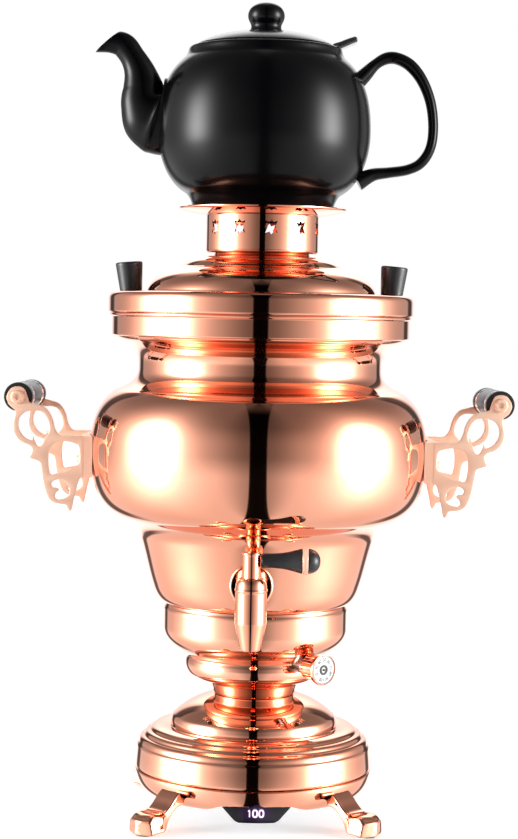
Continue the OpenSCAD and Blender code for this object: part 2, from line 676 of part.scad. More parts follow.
module tap_body() color(COPPER) difference() {
    union() {
        translate([tap_x, -tap_reach, 0]) rotate_extrude($fn = 64) polygon(concat(
            [[0, spout_z], [spout_r, spout_z], [spout_r + 0.4, spout_z + 0.8], [barrel_r, spout_z + 17],
                [barrel_r, tap_z + 0.8], [barrel_r + 0.5, tap_z + 1.2], [barrel_r + 0.5, tap_z + 2.2]],
            curve([barrel_r, tap_z + 2.6], [barrel_r, tap_z + 5], [plug_r + 3.4, barrel_top_z],
                [plug_r + 1.6, barrel_top_z], 6),
            [[0, barrel_top_z]]));
        translate([tap_x, -tap_reach, tap_z]) rotate([-90, 0, 0])
            cylinder(r = pipe_r, h = tap_reach - pipe_inner);
    }
    // seat of the plug, outlet and inlet
    translate([tap_x, -tap_reach, tap_z - 9]) cylinder(r = plug_r + turn_gap, h = 40);
    translate([tap_x, -tap_reach, spout_z - 1]) cylinder(r = tap_bore_r, h = 60);
    translate([tap_x, -tap_reach, tap_z]) rotate([-90, 0, 0]) cylinder(r = tap_bore_r, h = 100);
}

// outside of the bowl as a solid, used to fit the flange and the gasket
module bowl_outside(grow) rotate_extrude($fn = 128)
    polygon(concat([for (p = bowl_line) p + [p[0] > 0 ? grow : 0, 0]], [[0, waist_z]]));

module tap_flange() color(COPPER) difference() {
    at_tap() translate([0, 0, -8]) cylinder(r = flange_r, h = 11.4);
    bowl_outside(0.05);
    at_tap() translate([0, 0, -20]) cylinder(r = pipe_r + turn_gap, h = 60);
}

module tap_gasket() color(RUBBER) at_tap() translate([0, 0, -6.4]) ring(pipe_r + 2.4, pipe_r + turn_gap, 1.6);

module tap_nut() color(BRASS) at_tap() translate([0, 0, -8.8]) ring(pipe_r + 2.4, pipe_r + turn_gap, 2.4);

module tap_plug() color(COPPER) translate([tap_x, -tap_reach, 0]) difference() {
    union() {
        translate([0, 0, tap_z - 9 + 0.1]) cylinder(r = plug_r, h = plug_top_z - tap_z + 9 - 1.6);
        translate([0, 0, plug_top_z - 1.5]) cylinder(r = plug_r + 0.5, h = 1.5);
    }
    // cross passage: closed at rest, open after a quarter turn
    translate([0, 0, tap_z]) rotate([0, 90, 0]) cylinder(r = tap_bore_r - 0.4, h = 4 * plug_r, center = true);
    translate([0, 0, tap_z - 20]) cylinder(r = tap_bore_r - 0.4, h = 20);
    // socket of the lever
    translate([0, 0, lever_z]) rotate([0, 90, 0]) cylinder(r = 2 + hole_gap, h = 20);
}

lever_ring_w = 3.6;
lever_tip_l = 7.6;
lever_neck_l = lever_l - lever_ring_w - lever_tip_l;

module at_lever() translate([tap_x, -tap_reach, lever_z]) rotate([0, 90, 0]) children();

module tap_lever() color(BLACK) at_lever() rotate_extrude($fn = 48) polygon(concat(
    [[0, 1], [2, 1], [2, plug_r + 0.3], [lever_r - 0.7, plug_r + 0.3], [lever_r, plug_r + 1.2]],
    curve([lever_r, plug_r + 1.2], [lever_r, plug_r + lever_neck_l * 0.62],
        [lever_end_r - 2.4, plug_r + lever_neck_l * 0.7],
        [lever_end_r - 0.4, plug_r + lever_neck_l], 8),
    [[0, plug_r + lever_neck_l]]));

module lever_ring() color(COPPER) at_lever() translate([0, 0, plug_r + lever_neck_l])
    rotate_extrude($fn = 48) polygon([[0, 0], [lever_end_r - 0.2, 0], [lever_end_r, 0.5],
        [lever_end_r, lever_ring_w - 0.5], [lever_end_r - 0.2, lever_ring_w], [0, lever_ring_w]]);

module lever_tip() color(BLACK) at_lever() translate([0, 0, plug_r + lever_neck_l + lever_ring_w])
    rotate_extrude($fn = 48) polygon(concat([[0, 0], [lever_end_r - 0.4, 0]],
        curve([lever_end_r - 0.4, 0], [lever_end_r - 1, lever_tip_l * 0.7], [lever_end_r - 4, lever_tip_l],
            [0, lever_tip_l], 8)));

// ---- side handles, drawn for the right and mirrored for the left --------------------------------------

bolt_r = 2;
scroll_y = plate_gap / 2;

module at_bolt() translate([bracket_face, 0, bracket_z - bolt_drop]) rotate([0, 90, 0]) children();

module on_side(side) {
    if (side < 0) mirror([1, 0, 0]) rotate([0, 0, handle_turn]) children();
    else rotate([0, 0, handle_turn]) children();
}

module bracket(side) color(COPPER) on_side(side) difference() {
    union() {
        translate([bulb_r - 14, -scroll_y - scroll_t, bracket_z - bracket_h / 2])
            cube([bracket_face - bulb_r + 14, plate_gap + 2 * scroll_t, bracket_h]);
        translate([bulb_r - 14, -scroll_y, bracket_z - bracket_h / 2])
            cube([bracket_face - bulb_r + 14 + web_t, plate_gap, bracket_h]);
    }
    cylinder(r = bulb_r + 0.1, h = bulb_z * 2, $fn = 128);
    at_bolt() translate([0, 0, -20]) cylinder(r = bolt_r + hole_gap, h = 40);
}

// Outline of a scroll plate, x from the bracket's face and z from the bracket's middle
scroll_neck = [grip_reach - bracket_face, grip_z - bracket_z];
scroll_unit = bracket_h / 27;            // one step of the scroll's outline
function scroll_outer(n = scroll_neck / scroll_unit) = scroll_unit * [
    [0, 13.4], [8, 13.6], [14.4, 13.4], [17, 14.8], [19.2, 18.6], [20.4, 23.4], [22.6, 28.2], [26, 31.8],
    [31, 33.4], [35.8, 34.8], n + [-6.6, -0.6], n + [-3.6, 6], n + [3.4, 6.2],
    n + [7.2, 0.4], n + [5.6, -5.2], n + [1.4, -9.2],
    [45.6, 24], [46.2, 18.6], [44.8, 13.2], [40.8, 9], [35.6, 6.8], [33.6, 4.4], [34.2, 1],
    [35.4, -1.4], [32, -2.6], [28.4, -4.4], [27.2, -10.4], [26, -17], [24.6, -22.4], [22.4, -27.6],
        [18.8, -30.4],
    [14.2, -31.2], [11, -31.8], [9.8, -34.2], [8.6, -35.6], [7.4, -34.6], [6.2, -28.6], [4.8, -22.6],
    [3.4, -17], [2, -14.2], [0, -13.6]];
function scroll_ring_hole() = scroll_unit * [
    [35, 29.2], [39.4, 27.8], [42.4, 24.2], [43, 18.8], [41, 14.2], [37.2, 11],
    [34.2, 10.2], [33.2, 12.4], [32, 9.4], [30.4, 6.6], [28.4, 6.2], [26.6, 8.6], [25.4, 12], [23.4, 14.2],
    [22.4, 17.8], [23.2, 22.4], [25.4, 26.8], [29, 29.2]];
function scroll_window() = scroll_unit * [
    [3.4, 7], [6.4, 8.6], [10.4, 9.6], [15.6, 9.6], [19.8, 8], [22.4, 4.4], [23, -1.4],
    [22.6, -7.8], [21.2, -12], [18, -11.4], [13, -10.4], [9.6, -8.6], [5.8, -6.6], [3.2, -4.6], [2.4, 0]];
function scroll_kidney() = scroll_unit * [
    [16.6, -15.2], [19.4, -16.2], [20.8, -18.2], [19.8, -20.4], [17.4, -20.6], [15.8, -22],
    [17.8, -24.2], [18.4, -26.6], [17, -28.2], [13.4, -27.8], [10.2, -26.2], [8.8, -23.6], [9.2, -20.4],
    [11.4, -16.8], [14, -15.2]];

module scroll_plate(side, y) color(COPPER) on_side(side) difference() {
    translate([bracket_face, y > 0 ? y + scroll_t : y, bracket_z]) rotate([90, 0, 0]) linear_extrude(scroll_t)
        difference() {
            polygon(open_spline(scroll_outer(), 3));
            polygon(spline(scroll_ring_hole(), 3));
            polygon(spline(scroll_window(), 3));
            polygon(spline(scroll_kidney(), 3));
        }
    at_grip() cylinder(r = rod_r + hole_gap, h = 200, center = true);
}

rod_r = 2.5;
collar_w = 6.5;
ring_w = 1.7;
ring_gap = 2.2;
sleeve_end = scroll_y - collar_w;

module at_grip() translate([grip_reach, 0, grip_z]) rotate([90, 0, 0]) children();

module grip(side) color(BLACK) on_side(side) at_grip() difference() {
    translate([0, 0, -sleeve_end]) rotate_extrude($fn = 48) polygon(concat(
        [[0, 0], [grip_r - 1.6, 0], [grip_r - 1.6, 2 * ring_w + ring_gap + 1]],
        curve([grip_r - 0.6, 2 * ring_w + ring_gap + 1.6], [grip_r - 0.1, sleeve_end - 4],
            [grip_r - 0.1, sleeve_end + 4], [grip_r - 0.6, 2 * sleeve_end - 2 * ring_w - ring_gap - 1.6], 8),
        [[grip_r - 1.6, 2 * sleeve_end - 2 * ring_w - ring_gap - 1], [grip_r - 1.6, 2 * sleeve_end],
            [0, 2 * sleeve_end]]));
    cylinder(r = rod_r + hole_gap, h = 200, center = true);
}

module grip_collars(side) color(BLACK) on_side(side) at_grip() for (end = [-1, 1])
    translate([0, 0, end > 0 ? sleeve_end : -scroll_y]) ring(grip_r, rod_r + hole_gap, collar_w);

module grip_rings(side) color(STEEL) on_side(side) at_grip() for (end = [-1, 1], k = [0, 1])
    translate([0, 0, end * (sleeve_end - 1.2 - k * (ring_w + ring_gap)) - ring_w / 2])
        ring(grip_r - 0.3, grip_r - 1.6 + turn_gap, ring_w);

module grip_rod(side) color(STEEL) on_side(side) at_grip()
    cylinder(r = rod_r, h = plate_gap + 2 * scroll_t, center = true);

// cap screws at the ends of the rod, and the domed screw that holds the bracket, with its nut inside the tank
module handle_screws(side) color(COPPER) on_side(side) {
    for (end = [-1, 1]) translate([grip_reach, end * (scroll_y + scroll_t), grip_z]) rotate([-90 * end, 0, 0])
        difference() {
            cylinder(r1 = 4.6, r2 = 3.6, h = 2);
            translate([0, 0, 0.8]) cylinder(r = 2.4, h = 3, $fn = 6);
        }
    at_bolt() {
        rotate_extrude() polygon(concat(
            [[0, -9 - bracket_skin], [bolt_r, -9 - bracket_skin], [bolt_r, web_t], [4, web_t],
                [3.8, web_t + 1.2], [2.9, web_t + 1.4], [2.9, web_t + 3]],
            curve([2.9, web_t + 3], [2.9, web_t + 4.8], [1.6, web_t + 6], [0, web_t + 6], 6)));
        translate([0, 0, -sheet - bracket_skin - 4.7]) hex_nut(4.6, bolt_r + turn_gap, 3.6);
    }
}

module bracket_left() bracket(-1);
module bracket_right() bracket(1);
module plate_front_left() scroll_plate(-1, -scroll_y);
module plate_front_right() scroll_plate(1, -scroll_y);
module plate_rear_left() scroll_plate(-1, scroll_y);
module plate_rear_right() scroll_plate(1, scroll_y);
module grip_left() grip(-1);
module grip_right() grip(1);
module grip_collars_left() grip_collars(-1);
module grip_collars_right() grip_collars(1);
module grip_rings_left() grip_rings(-1);
module grip_rings_right() grip_rings(1);
module grip_rod_left() grip_rod(-1);
module grip_rod_right() grip_rod(1);
module handle_screws_left() handle_screws(-1);
module handle_screws_right() handle_screws(1);

// ---- lid ---------------------------------------------------------------------------------------------

flat_in_r = lid_r - 24.8;               // inner edge of the lid's flat ring
hole_r = crown_r - 7;                   // steam hole under the crown
collar_r = crown_r - 5.5;
lid_line = concat(
    [[lid_r - 4, mouth_z + 0.02], [lid_r, mouth_z + 0.02], [lid_r, lid_top_z - 5]],
    curve([lid_r, lid_top_z - 5], [lid_r, lid_top_z - 1.6], [lid_r - 2, lid_top_z], [lid_r - 5, lid_top_z], 6),
    [[flat_in_r, lid_top_z]],
    curve([flat_in_r, lid_top_z], [flat_in_r - 1.8, lid_top_z + 0.31 * dome_h],
        [flat_in_r - 11, lid_top_z + 0.57 * dome_h],
        [flat_in_r - 23, lid_top_z + 0.64 * dome_h], 10),
    curve([flat_in_r - 23, lid_top_z + 0.64 * dome_h], [flat_in_r - 26, lid_top_z + 0.8 * dome_h],
        [flat_in_r - 30, lid_top_z + 0.9 * dome_h], [collar_r + 4, crown_z - 2], 8),
    [[collar_r, crown_z - 1.6], [collar_r, crown_z], [hole_r, crown_z]]);

locating_r = neck_wall_r - sheet - lift_gap;

module lid() color(COPPER) difference() {
    union() {
        turned_sheet(lid_line, sheet);
        // ring that drops into the tank's mouth
        translate([0, 0, mouth_z - 8]) difference() {
            cylinder(r = locating_r, h = 8 + lid_rim_h - sheet / 2, $fn = 128);
            translate([0, 0, -1]) cylinder(r = locating_r - sheet, h = 40, $fn = 128);
        }
    }
    for (side = [-1, 1]) translate([side * lid_knob_reach, 0, mouth_z])
        cylinder(r = screw_r + hole_gap, h = 60);
}

screw_r = 2;

module lid_knob(side) color(BLACK) difference() {
    translate([side * lid_knob_reach, 0, lid_top_z]) rotate([0, side * lid_knob_tilt, 0])
        rotate_extrude($fn = 48)
        polygon(concat([[0, -2], [lid_knob_r - 1.8, -2], [lid_knob_r - 1.6, 1]],
            [[lid_knob_r, lid_knob_h - 1.6]],
            curve([lid_knob_r, lid_knob_h - 1.6], [lid_knob_r, lid_knob_h - 0.4],
                [lid_knob_r - 0.4, lid_knob_h],
                [lid_knob_r - 1.6, lid_knob_h], 4),
            [[0, lid_knob_h]]));
    translate([side * lid_knob_reach, 0, lid_top_z - 10]) cube([60, 60, 20], center = true);
    translate([side * lid_knob_reach, 0, lid_top_z - 1]) cylinder(r = screw_r + turn_gap, h = 13);
}

module lid_knob_left() lid_knob(-1);
module lid_knob_right() lid_knob(1);

module lid_screws() color(STEEL) for (side = [-1, 1]) translate([side * lid_knob_reach, 0, lid_top_z - sheet]) {
    cylinder(r = screw_r, h = sheet + 10);
    translate([0, 0, -2.2]) cylinder(r = 2 * screw_r, h = 2.2);
}

// ---- crown -------------------------------------------------------------------------------------------

crown_line = concat(
    [[hole_r - lift_gap - 0.5, crown_z], [crown_r - 1.2, crown_z], [crown_r, crown_z + 1.2],
        [crown_r, dish_z - 1.2],
        [crown_r + 1.6, dish_z - 1 + 0.05]],
    curve([crown_r + 1.6, dish_z - 1 + 0.05], [crown_r + 7, dish_z - 0.2],
        [dish_r - 6, dish_z + dish_rise - 2.4],
        [dish_r, dish_z + dish_rise - 1], 6));

// six points: up, down and the four corners, with hollow sides
function star() = let (h = vent_h / 2, w = vent_h * 0.4)
    [[0, h], [w * 0.34, h * 0.62], [w, h * 0.8], [w * 0.62, 0], [w, -h * 0.8], [w * 0.34, -h * 0.62],
        [0, -h], [-w * 0.34, -h * 0.62], [-w, -h * 0.8], [-w * 0.62, 0], [-w, h * 0.8], [-w * 0.34, h * 0.62]];

module crown() color(COPPER) difference() {
    union() {
        turned_sheet(crown_line, 1);
        // spigot that drops into the lid's steam hole
        translate([0, 0, crown_z - 7]) ring(hole_r - lift_gap, hole_r - lift_gap - 1, 8);
    }
    for (k = [0:vents - 1]) rotate([0, 0, -81 + 360 * k / vents])
        translate([crown_r - 6, 0, crown_z + 0.55 * crown_h]) rotate([90, 0, 90]) linear_extrude(10)
            polygon(star());
}

// ---- teapot ------------------------------------------------------------------------------------------

pot_unit = pot_h / 105.2;                // one step of the pot's height
function pot_line(z = pot_unit) = concat(
    curve([pot_foot_r + 1, pot_z + 6.2], [pot_foot_r + 13, pot_z + 12 * z], [pot_r - 0.2, pot_z + 30 * z],
        [pot_r, pot_z + 51 * z], 14),
    curve([pot_r, pot_z + 51 * z], [pot_r, pot_z + 73 * z], [pot_r - 8, rim_z - 16 * z],
        [pot_lid_r + 1.4, rim_z - 1.4], 12));
function pot_outside() = concat(
    [[0, pot_z + 2], [pot_foot_r - 5, pot_z + 2], [pot_foot_r - 4, pot_z], [pot_foot_r - 0.6, pot_z],
        [pot_foot_r, pot_z + 0.8], [pot_foot_r, pot_z + 5]],
    pot_line(), [[pot_lid_r, rim_z], [0, rim_z]]);
function pot_inside() = concat(
    [[0, pot_z + 2 + pot_wall + 3], [pot_foot_r - 6, pot_z + 2 + pot_wall + 3]],
    [for (p = pot_line()) if (p[1] > pot_z + 14 && p[1] < rim_z - 9) p - [pot_wall, 0]],
    [[pot_mouth_r, rim_z - 5], [pot_mouth_r, rim_z + 1], [0, rim_z + 1]]);

// stops of the spout: x, z, half thickness, half width
function spout_stops(shrink) = [for (s = open_spline([
        [9, 59.9, 25.4, 17], [0.5, 60.2, 25, 16], [-5, 62.8, 21.6, 14.4], [-9.2, 70, 16, 12.6],
            [-10.4, 80, 13.2, 11],
        [-13, 90, 10.2, 9.2], [-17.4, 98.6, 8.4, 7.9], [-23.3, 106, 8.4, 6.9], [-31.1, 108.2, 7.4, 6.2],
        [-40, 109, 7.8, 6], [-47, 109, 8, 6]], 3))
    [s[0] * pot_unit - pot_r, s[1] * pot_unit + pot_z, s[2] * pot_unit - shrink, s[3] * pot_unit - shrink]];
function handle_stops() = [for (s = open_spline([
        [-10, 84.4, 1.5, 1.6], [-4.4, 90, 1.3, 1.3], [2.4, 96, 1, 1], [9.6, 99.8, 1, 1], [17, 99.6, 1, 1],
        [25.6, 95.2, 1, 1], [33.4, 86, 1, 1], [39, 72, 1, 1], [41, 56, 1, 1], [39.4, 42.6, 1, 1],
            [33.6, 33, 1, 1],
        [24.6, 28.2, 1, 1], [11.6, 26, 1, 1], [1.6, 24.4, 1.2, 1.2], [-8, 19.4, 1.6, 1.6]], 2))
    [s[0] * pot_unit + pot_r, s[1] * pot_unit + pot_z, s[2] * pot_handle_r, s[3] * pot_handle_w]];

// everything beyond the slanted mouth of the spout
module beyond_spout(top = [-27.1, 114.4], tip = [-42.4, 101.2]) {
    along = (top - tip) / norm(top - tip);
    up = [-along[1], along[0]];
    translate([-pot_r, 0, pot_z]) scale([pot_unit, 1, pot_unit]) rotate([90, 0, 0])
        linear_extrude(40, center = true)
            polygon([top + 14 * along, top + 14 * along + 30 * up, tip - 12 * along + 30 * up,
                tip - 12 * along]);
}

module teapot() color(BLACK) difference() {
    union() {
        rotate_extrude($fn = 96) polygon(pot_outside());
        difference() {
            swept(spout_stops(0));
            beyond_spout();
        }
        swept(handle_stops());
    }
    rotate_extrude($fn = 96) polygon(pot_inside());
    swept(spout_stops(3));
}

tab_w = 14;
hole_columns = 14;
hole_rows = 4;
strainer_r = pot_mouth_r - lift_gap;

module strainer() color(STEEL) difference() {
    union() {
        rotate_extrude($fn = 96) polygon([[0, rim_z - strainer_depth], [strainer_r - 6, rim_z - strainer_depth],
            [strainer_r, rim_z - strainer_depth + 6], [strainer_r, rim_z + 0.02],
                [strainer_r + 4, rim_z + 0.02],
            [strainer_r + 4, pot_lid_z], [strainer_r - strainer_t, pot_lid_z],
            [strainer_r - strainer_t, rim_z - strainer_depth + 6.4],
            [strainer_r - 6.4, rim_z - strainer_depth + strainer_t], [0, rim_z - strainer_depth + strainer_t]]);
        // thumb tab
        rotate([90, 0, 0]) linear_extrude(tab_w, center = true) polygon([[strainer_r + 2, rim_z + 0.02],
            [pot_lid_r + 2, rim_z + 0.02], [pot_lid_r + 13, rim_z + 5], [pot_lid_r + 12, rim_z + 8.6],
            [pot_lid_r + 1.4, rim_z + 4.2], [pot_lid_r - 1, pot_lid_z], [strainer_r + 2, pot_lid_z]]);
    }
    // infusing holes
    for (k = [0:hole_columns - 1], row = [0:hole_rows - 1])
        rotate([0, 0, 360 / hole_columns * (k + (row % 2) / 2)])
        translate([strainer_r - 3, 0,
            rim_z - strainer_depth + 14 + row * (strainer_depth - 26) / (hole_rows - 1)])
            rotate([0, 90, 0]) cylinder(r = 1.6, h = 6, $fn = 24);
}

pot_dome_h = 10.4;
pot_collar_r = strainer_r - strainer_t - pot_collar_play;

module teapot_lid(dome_z = pot_lid_z + pot_dome_h, k = pot_knob_h / 20.6) color(BLACK) difference() {
    rotate_extrude($fn = 96) polygon(concat(
        [[0, pot_lid_z + 3], [pot_collar_r - 2, pot_lid_z + 3], [pot_collar_r - 2, pot_lid_z - 7],
            [pot_collar_r, pot_lid_z - 7], [pot_collar_r, pot_lid_z + 3], [pot_collar_r + 3.4, pot_lid_z + 3],
            [pot_collar_r + 3.4, pot_lid_z + 0.02], [pot_lid_r - 0.5, pot_lid_z + 0.02],
            [pot_lid_r, pot_lid_z + 0.8]],
        curve([pot_lid_r, pot_lid_z + 0.8], [pot_lid_r - 7, pot_lid_z + 0.66 * pot_dome_h],
            [pot_knob_r + 12, dome_z], [pot_knob_r - 1, dome_z], 10),
        curve([pot_knob_r - 1, dome_z], [pot_knob_r - 1.4, dome_z + 2 * k], [pot_knob_r - 3, dome_z + 3 * k],
            [pot_knob_r - 0.8, dome_z + 6.6 * k], 5),
        curve([pot_knob_r - 0.8, dome_z + 6.6 * k], [pot_knob_r + 1.6, dome_z + 11 * k],
            [pot_knob_r, dome_z + 16 * k], [pot_knob_r - 4, dome_z + 18.8 * k], 8),
        curve([pot_knob_r - 4, dome_z + 18.8 * k], [pot_knob_r - 6, dome_z + 20.6 * k],
            [3, dome_z + 20.6 * k], [0, dome_z + 20.6 * k], 5)));
    // four notches in the collar
    for (turn = [45:90:315]) rotate([0, 0, turn])
        translate([pot_collar_r - 3, -3, pot_lid_z - 8]) cube([4, 6, 10.9]);
    // notch for the strainer's thumb tab
    translate([pot_lid_r - 2.6, -tab_w / 2 - 0.4, pot_lid_z - 1]) cube([10, tab_w + 0.8, 12]);
}

// ---- assembly ----------------------------------------------------------------------------------------

base_skirt();
base_cover();
bottom_plate();
foot_front_left();
foot_front_right();
foot_rear_left();
foot_rear_right();
foot_pads();
foot_screws();
display_panel();
control_board();
board_posts();
cord_gland();
gland_nut();
stem_tube();
stem_nuts();
heater_housing();
tank_bowl();
tank();
rim_band();
heating_element();
element_nuts();
thermostat();
thermostat_nut();
thermal_cutout();
tap_body();
tap_flange();
tap_gasket();
tap_nut();
tap_plug();
tap_lever();
lever_ring();
lever_tip();
knob();
knob_dial();
knob_shaft();
bracket_left();
plate_front_left();
plate_rear_left();
grip_left();
grip_collars_left();
grip_rings_left();
grip_rod_left();
handle_screws_left();
bracket_right();
plate_front_right();
plate_rear_right();
grip_right();
grip_collars_right();
grip_rings_right();
grip_rod_right();
handle_screws_right();
lid();
lid_knob_left();
lid_knob_right();
lid_screws();
crown();
teapot();
strainer();
teapot_lid();
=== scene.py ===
"""Looks of a copper electric samovar with a black teapot on its crown.

Lengths in the outlines are in millimetres and become metres when a piece is made.
The samovar stands on its axis at the origin, -Y to the front, +Z up.
"""

import math

import bmesh
import bpy
import numpy as np
from mathutils import Matrix


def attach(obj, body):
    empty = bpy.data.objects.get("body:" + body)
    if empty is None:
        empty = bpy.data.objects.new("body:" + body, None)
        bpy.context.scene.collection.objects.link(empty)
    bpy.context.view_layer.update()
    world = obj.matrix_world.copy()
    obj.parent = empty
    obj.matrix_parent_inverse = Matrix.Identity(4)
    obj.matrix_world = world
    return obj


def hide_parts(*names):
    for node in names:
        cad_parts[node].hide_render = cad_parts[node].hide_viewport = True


MM = 0.001

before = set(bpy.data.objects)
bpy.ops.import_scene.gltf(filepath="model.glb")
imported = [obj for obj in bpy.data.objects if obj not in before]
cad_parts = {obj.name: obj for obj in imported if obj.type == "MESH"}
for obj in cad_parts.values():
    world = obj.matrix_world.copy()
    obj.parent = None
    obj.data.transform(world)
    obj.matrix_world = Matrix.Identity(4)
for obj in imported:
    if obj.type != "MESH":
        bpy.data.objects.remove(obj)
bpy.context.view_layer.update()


# ---- levels and turns shared by several pieces, in millimetres and degrees ----

BASE_TURN = 2.4
HANDLE_TURN = 2.7
NECK_Z = 78.5
TANK_Z = 139.4
WAIST_Z = 184.4
THROAT_Z = 293.4
MOUTH_Z = 330.5
LID_Z = 344.3
CROWN_Z = 370.4
POT_Z = 399.16
RIM_Z = 504.36
POT_LID_Z = 505.16
TAP = np.array([-2.9, -103.0, 159.5])
LEVER_Z = 179.5
KNOB_SIDE, KNOB_Z = 40.0, 103.6
BRACKET_X, BRACKET_Z = 112.4, 235.935
GRIP_X, GRIP_Z = 156.0, 274.035
SCROLL_Y, SCROLL_T = 29.7, 2.6
SHEET = 1.2
CURVE_STEPS = 24
STARS = 11
FLUTES = 24
PANEL_R = 71.9
BULB_R = 111.4


# ---- outlines ----

def trace(start, *moves):
    """Polyline from start through moves: a pair is a straight line to that point, and three pairs are a cubic
    curve, whose point at t is the usual blend (1-t)^3 a + 3(1-t)^2 t b + 3(1-t) t^2 c + t^3 d."""
    line = [np.array([start], float)]
    t = np.linspace(0, 1, CURVE_STEPS + 1)[1:, None]
    for move in moves:
        here = line[-1][-1]
        if np.ndim(move) == 1:
            line.append(np.array([move], float))
        else:
            b, c, d = (np.array(p, float) for p in move)
            line.append((1 - t) ** 3 * here + 3 * (1 - t) ** 2 * t * b + 3 * (1 - t) * t ** 2 * c + t ** 3 * d)
    return np.vstack(line)


def even(line, step):
    """The same polyline with points every step along its length."""
    gaps = np.linalg.norm(np.diff(line, axis=0), axis=1)
    along = np.concatenate([[0], np.cumsum(gaps)])
    marks = np.linspace(0, along[-1], max(int(round(along[-1] / step)), 2) + 1)
    return np.column_stack([np.interp(marks, along, line[:, k]) for k in range(line.shape[1])])


def ease(line, step=1.0, blend=0.6):
    """Evenly spaced line whose corners are rounded: each point becomes the Gaussian mean, blend wide, of
    its neighbours along the line. The ends stay, because the line goes on past them as its own point
    reflection."""
    fine = min(step, blend / 2)
    dense = even(line, fine)
    reach = int(3 * blend / fine)
    weight = np.exp(-0.5 * (np.arange(-reach, reach + 1) * fine / blend) ** 2)
    weight /= weight.sum()
    before = 2 * dense[0] - dense[reach:0:-1]
    after = 2 * dense[-1] - dense[-2:-reach - 2:-1]
    longer = np.vstack([before, dense, after])
    soft = np.column_stack([np.convolve(longer[:, k], weight, "valid") for k in range(line.shape[1])])
    return even(soft, step)


def headings(line):
    """Unit vectors along a line: each is the mean direction of its point's two neighbours."""
    along = np.gradient(line, axis=0)
    return along / np.maximum(np.linalg.norm(along, axis=1, keepdims=True), 1e-9)


def beside(line, gap):
    """The line moved by gap to its left: each point goes along the mean normal of its two neighbours."""
    along = headings(line)
    return line + gap * np.column_stack([-along[:, 1], along[:, 0]])


def smooth_through(stops, per=8, closed=False):
    """Smooth line through the stops: between two of them it is the Catmull-Rom cubic of their four
    neighbours."""
    p = np.array(stops, float)
    if closed:
        a, b, c, d = np.roll(p, 1, 0), p, np.roll(p, -1, 0), np.roll(p, -2, 0)
    else:
        q = np.vstack([p[:1], p, p[-1:]])
        a, b, c, d = q[:-3], q[1:-2], q[2:-1], q[3:]
    t = (np.arange(per) / per)[None, :, None]
    a, b, c, d = (x[:, None, :] for x in (a, b, c, d))
    line = 0.5 * (2 * b + t * (c - a) + t ** 2 * (2 * a - 5 * b + 4 * c - d) + t ** 3 * (3 * b - a - 3 * c + d))
    line = line.reshape(-1, p.shape[1])
    return line if closed else np.vstack([line, p[-1:]])


# ---- meshes ----

def grid_faces(rows, columns, wrap_rows, wrap_columns):
    """Four-sided faces between neighbouring rows and columns of a grid of points, as rows of indices."""
    i = np.arange(rows if wrap_rows else rows - 1)[:, None]
    j = np.arange(columns if wrap_columns else columns - 1)[None, :]
    i2, j2 = (i + 1) % rows, (j + 1) % columns
    corners = [i * columns + j, i * columns + j2, i2 * columns + j2, i2 * columns + j]
    return np.stack([np.broadcast_to(c, (i.shape[0], j.shape[1])) for c in corners], -1).reshape(-1, 4)


def turn_z(points, degrees):
    """Points turned about the vertical axis."""
    a = math.radians(degrees)
    return points @ np.array([[math.cos(a), math.sin(a), 0], [-math.sin(a), math.cos(a), 0], [0, 0, 1]])


def piece(name, points, faces, finish, stands_for=(), body="samovar", sharp=38, uv=None):
    """A finished piece: its points, in millimetres, become a mesh in metres that rides on a CAD body, in place
    of the CAD nodes it stands for. The slot of its finish is looked up but not set on it."""
    mesh = bpy.data.meshes.new(name)
    mesh.from_pydata((np.asarray(points) * MM).tolist(), [], [list(map(int, f)) for f in faces])
    if uv is not None:
        layer = mesh.uv_layers.new(name="UVMap")
        order = np.zeros(len(mesh.loops), int)
        mesh.loops.foreach_get("vertex_index", order)
        layer.data.foreach_set("uv", uv[order].astype(np.float32).ravel())
    tidy_mesh(mesh, sharp)
    mesh.materials.append(finish)
    obj, slot = add_object(name, mesh), SLOTS[finish.name]
    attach(obj, body)
    if stands_for:
        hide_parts(*([stands_for] if isinstance(stands_for, str) else stands_for))


def add_object(name, data):
    """A new object in the scene."""
    obj = bpy.data.objects.new(name, data)
    bpy.context.scene.collection.objects.link(obj)
    return obj


def tidy_mesh(mesh, sharp):
    """Closes poles and seams, and shades the mesh smooth except at edges sharper than the given angle."""
    work = bmesh.new()
    work.from_mesh(mesh)
    bmesh.ops.remove_doubles(work, verts=work.verts, dist=2e-6)
    bmesh.ops.dissolve_degenerate(work, edges=work.edges, dist=1e-7)
    work.to_mesh(mesh)
    work.free()
    mesh.validate()
    mesh.polygons.foreach_set("use_smooth", np.ones(len(mesh.polygons), bool))
    mesh.set_sharp_from_angle(angle=math.radians(sharp))
    mesh.update()


def whole_turn(count):
    """Evenly spread angles of one whole turn."""
    return np.linspace(0, 2 * np.pi, count, endpoint=False)


def smooth_step(x):
    """3 x^2 - 2 x^3, which rises from 0 to 1 with level ends."""
    return x ** 2 * (3 - 2 * x)


def signed_power(x, power):
    """|x| raised to a power, with the sign of x."""
    return np.sign(x) * np.abs(x) ** power


def polar(r, a, z):
    """Points at radius r, turn a and level z: (r cos a, r sin a, z)."""
    r, a, z = np.broadcast_arrays(r, a, z)
    return np.stack([r * np.cos(a), r * np.sin(a), z], -1)


def spun(outline, around=144, closed=True):
    """Surface of revolution: every place of the outline, a radius and a level, is turned right round. The
    solid lies on the left of the outline's direction."""
    a = whole_turn(around)
    return polar(outline[:, :1], a, outline[:, 1:]).reshape(-1, 3), grid_faces(
        len(outline), around, closed, True)


def turned(start, *moves, step=0.5, blend=0.3, around=96):
    """A piece spun from an eased outline. An outline that comes back to its start makes a ring."""
    line = ease(trace(start, *moves), step, blend)
    if np.allclose(line[0], line[-1]):
        return spun(line[:-1], around)
    return spun(line, around, False)


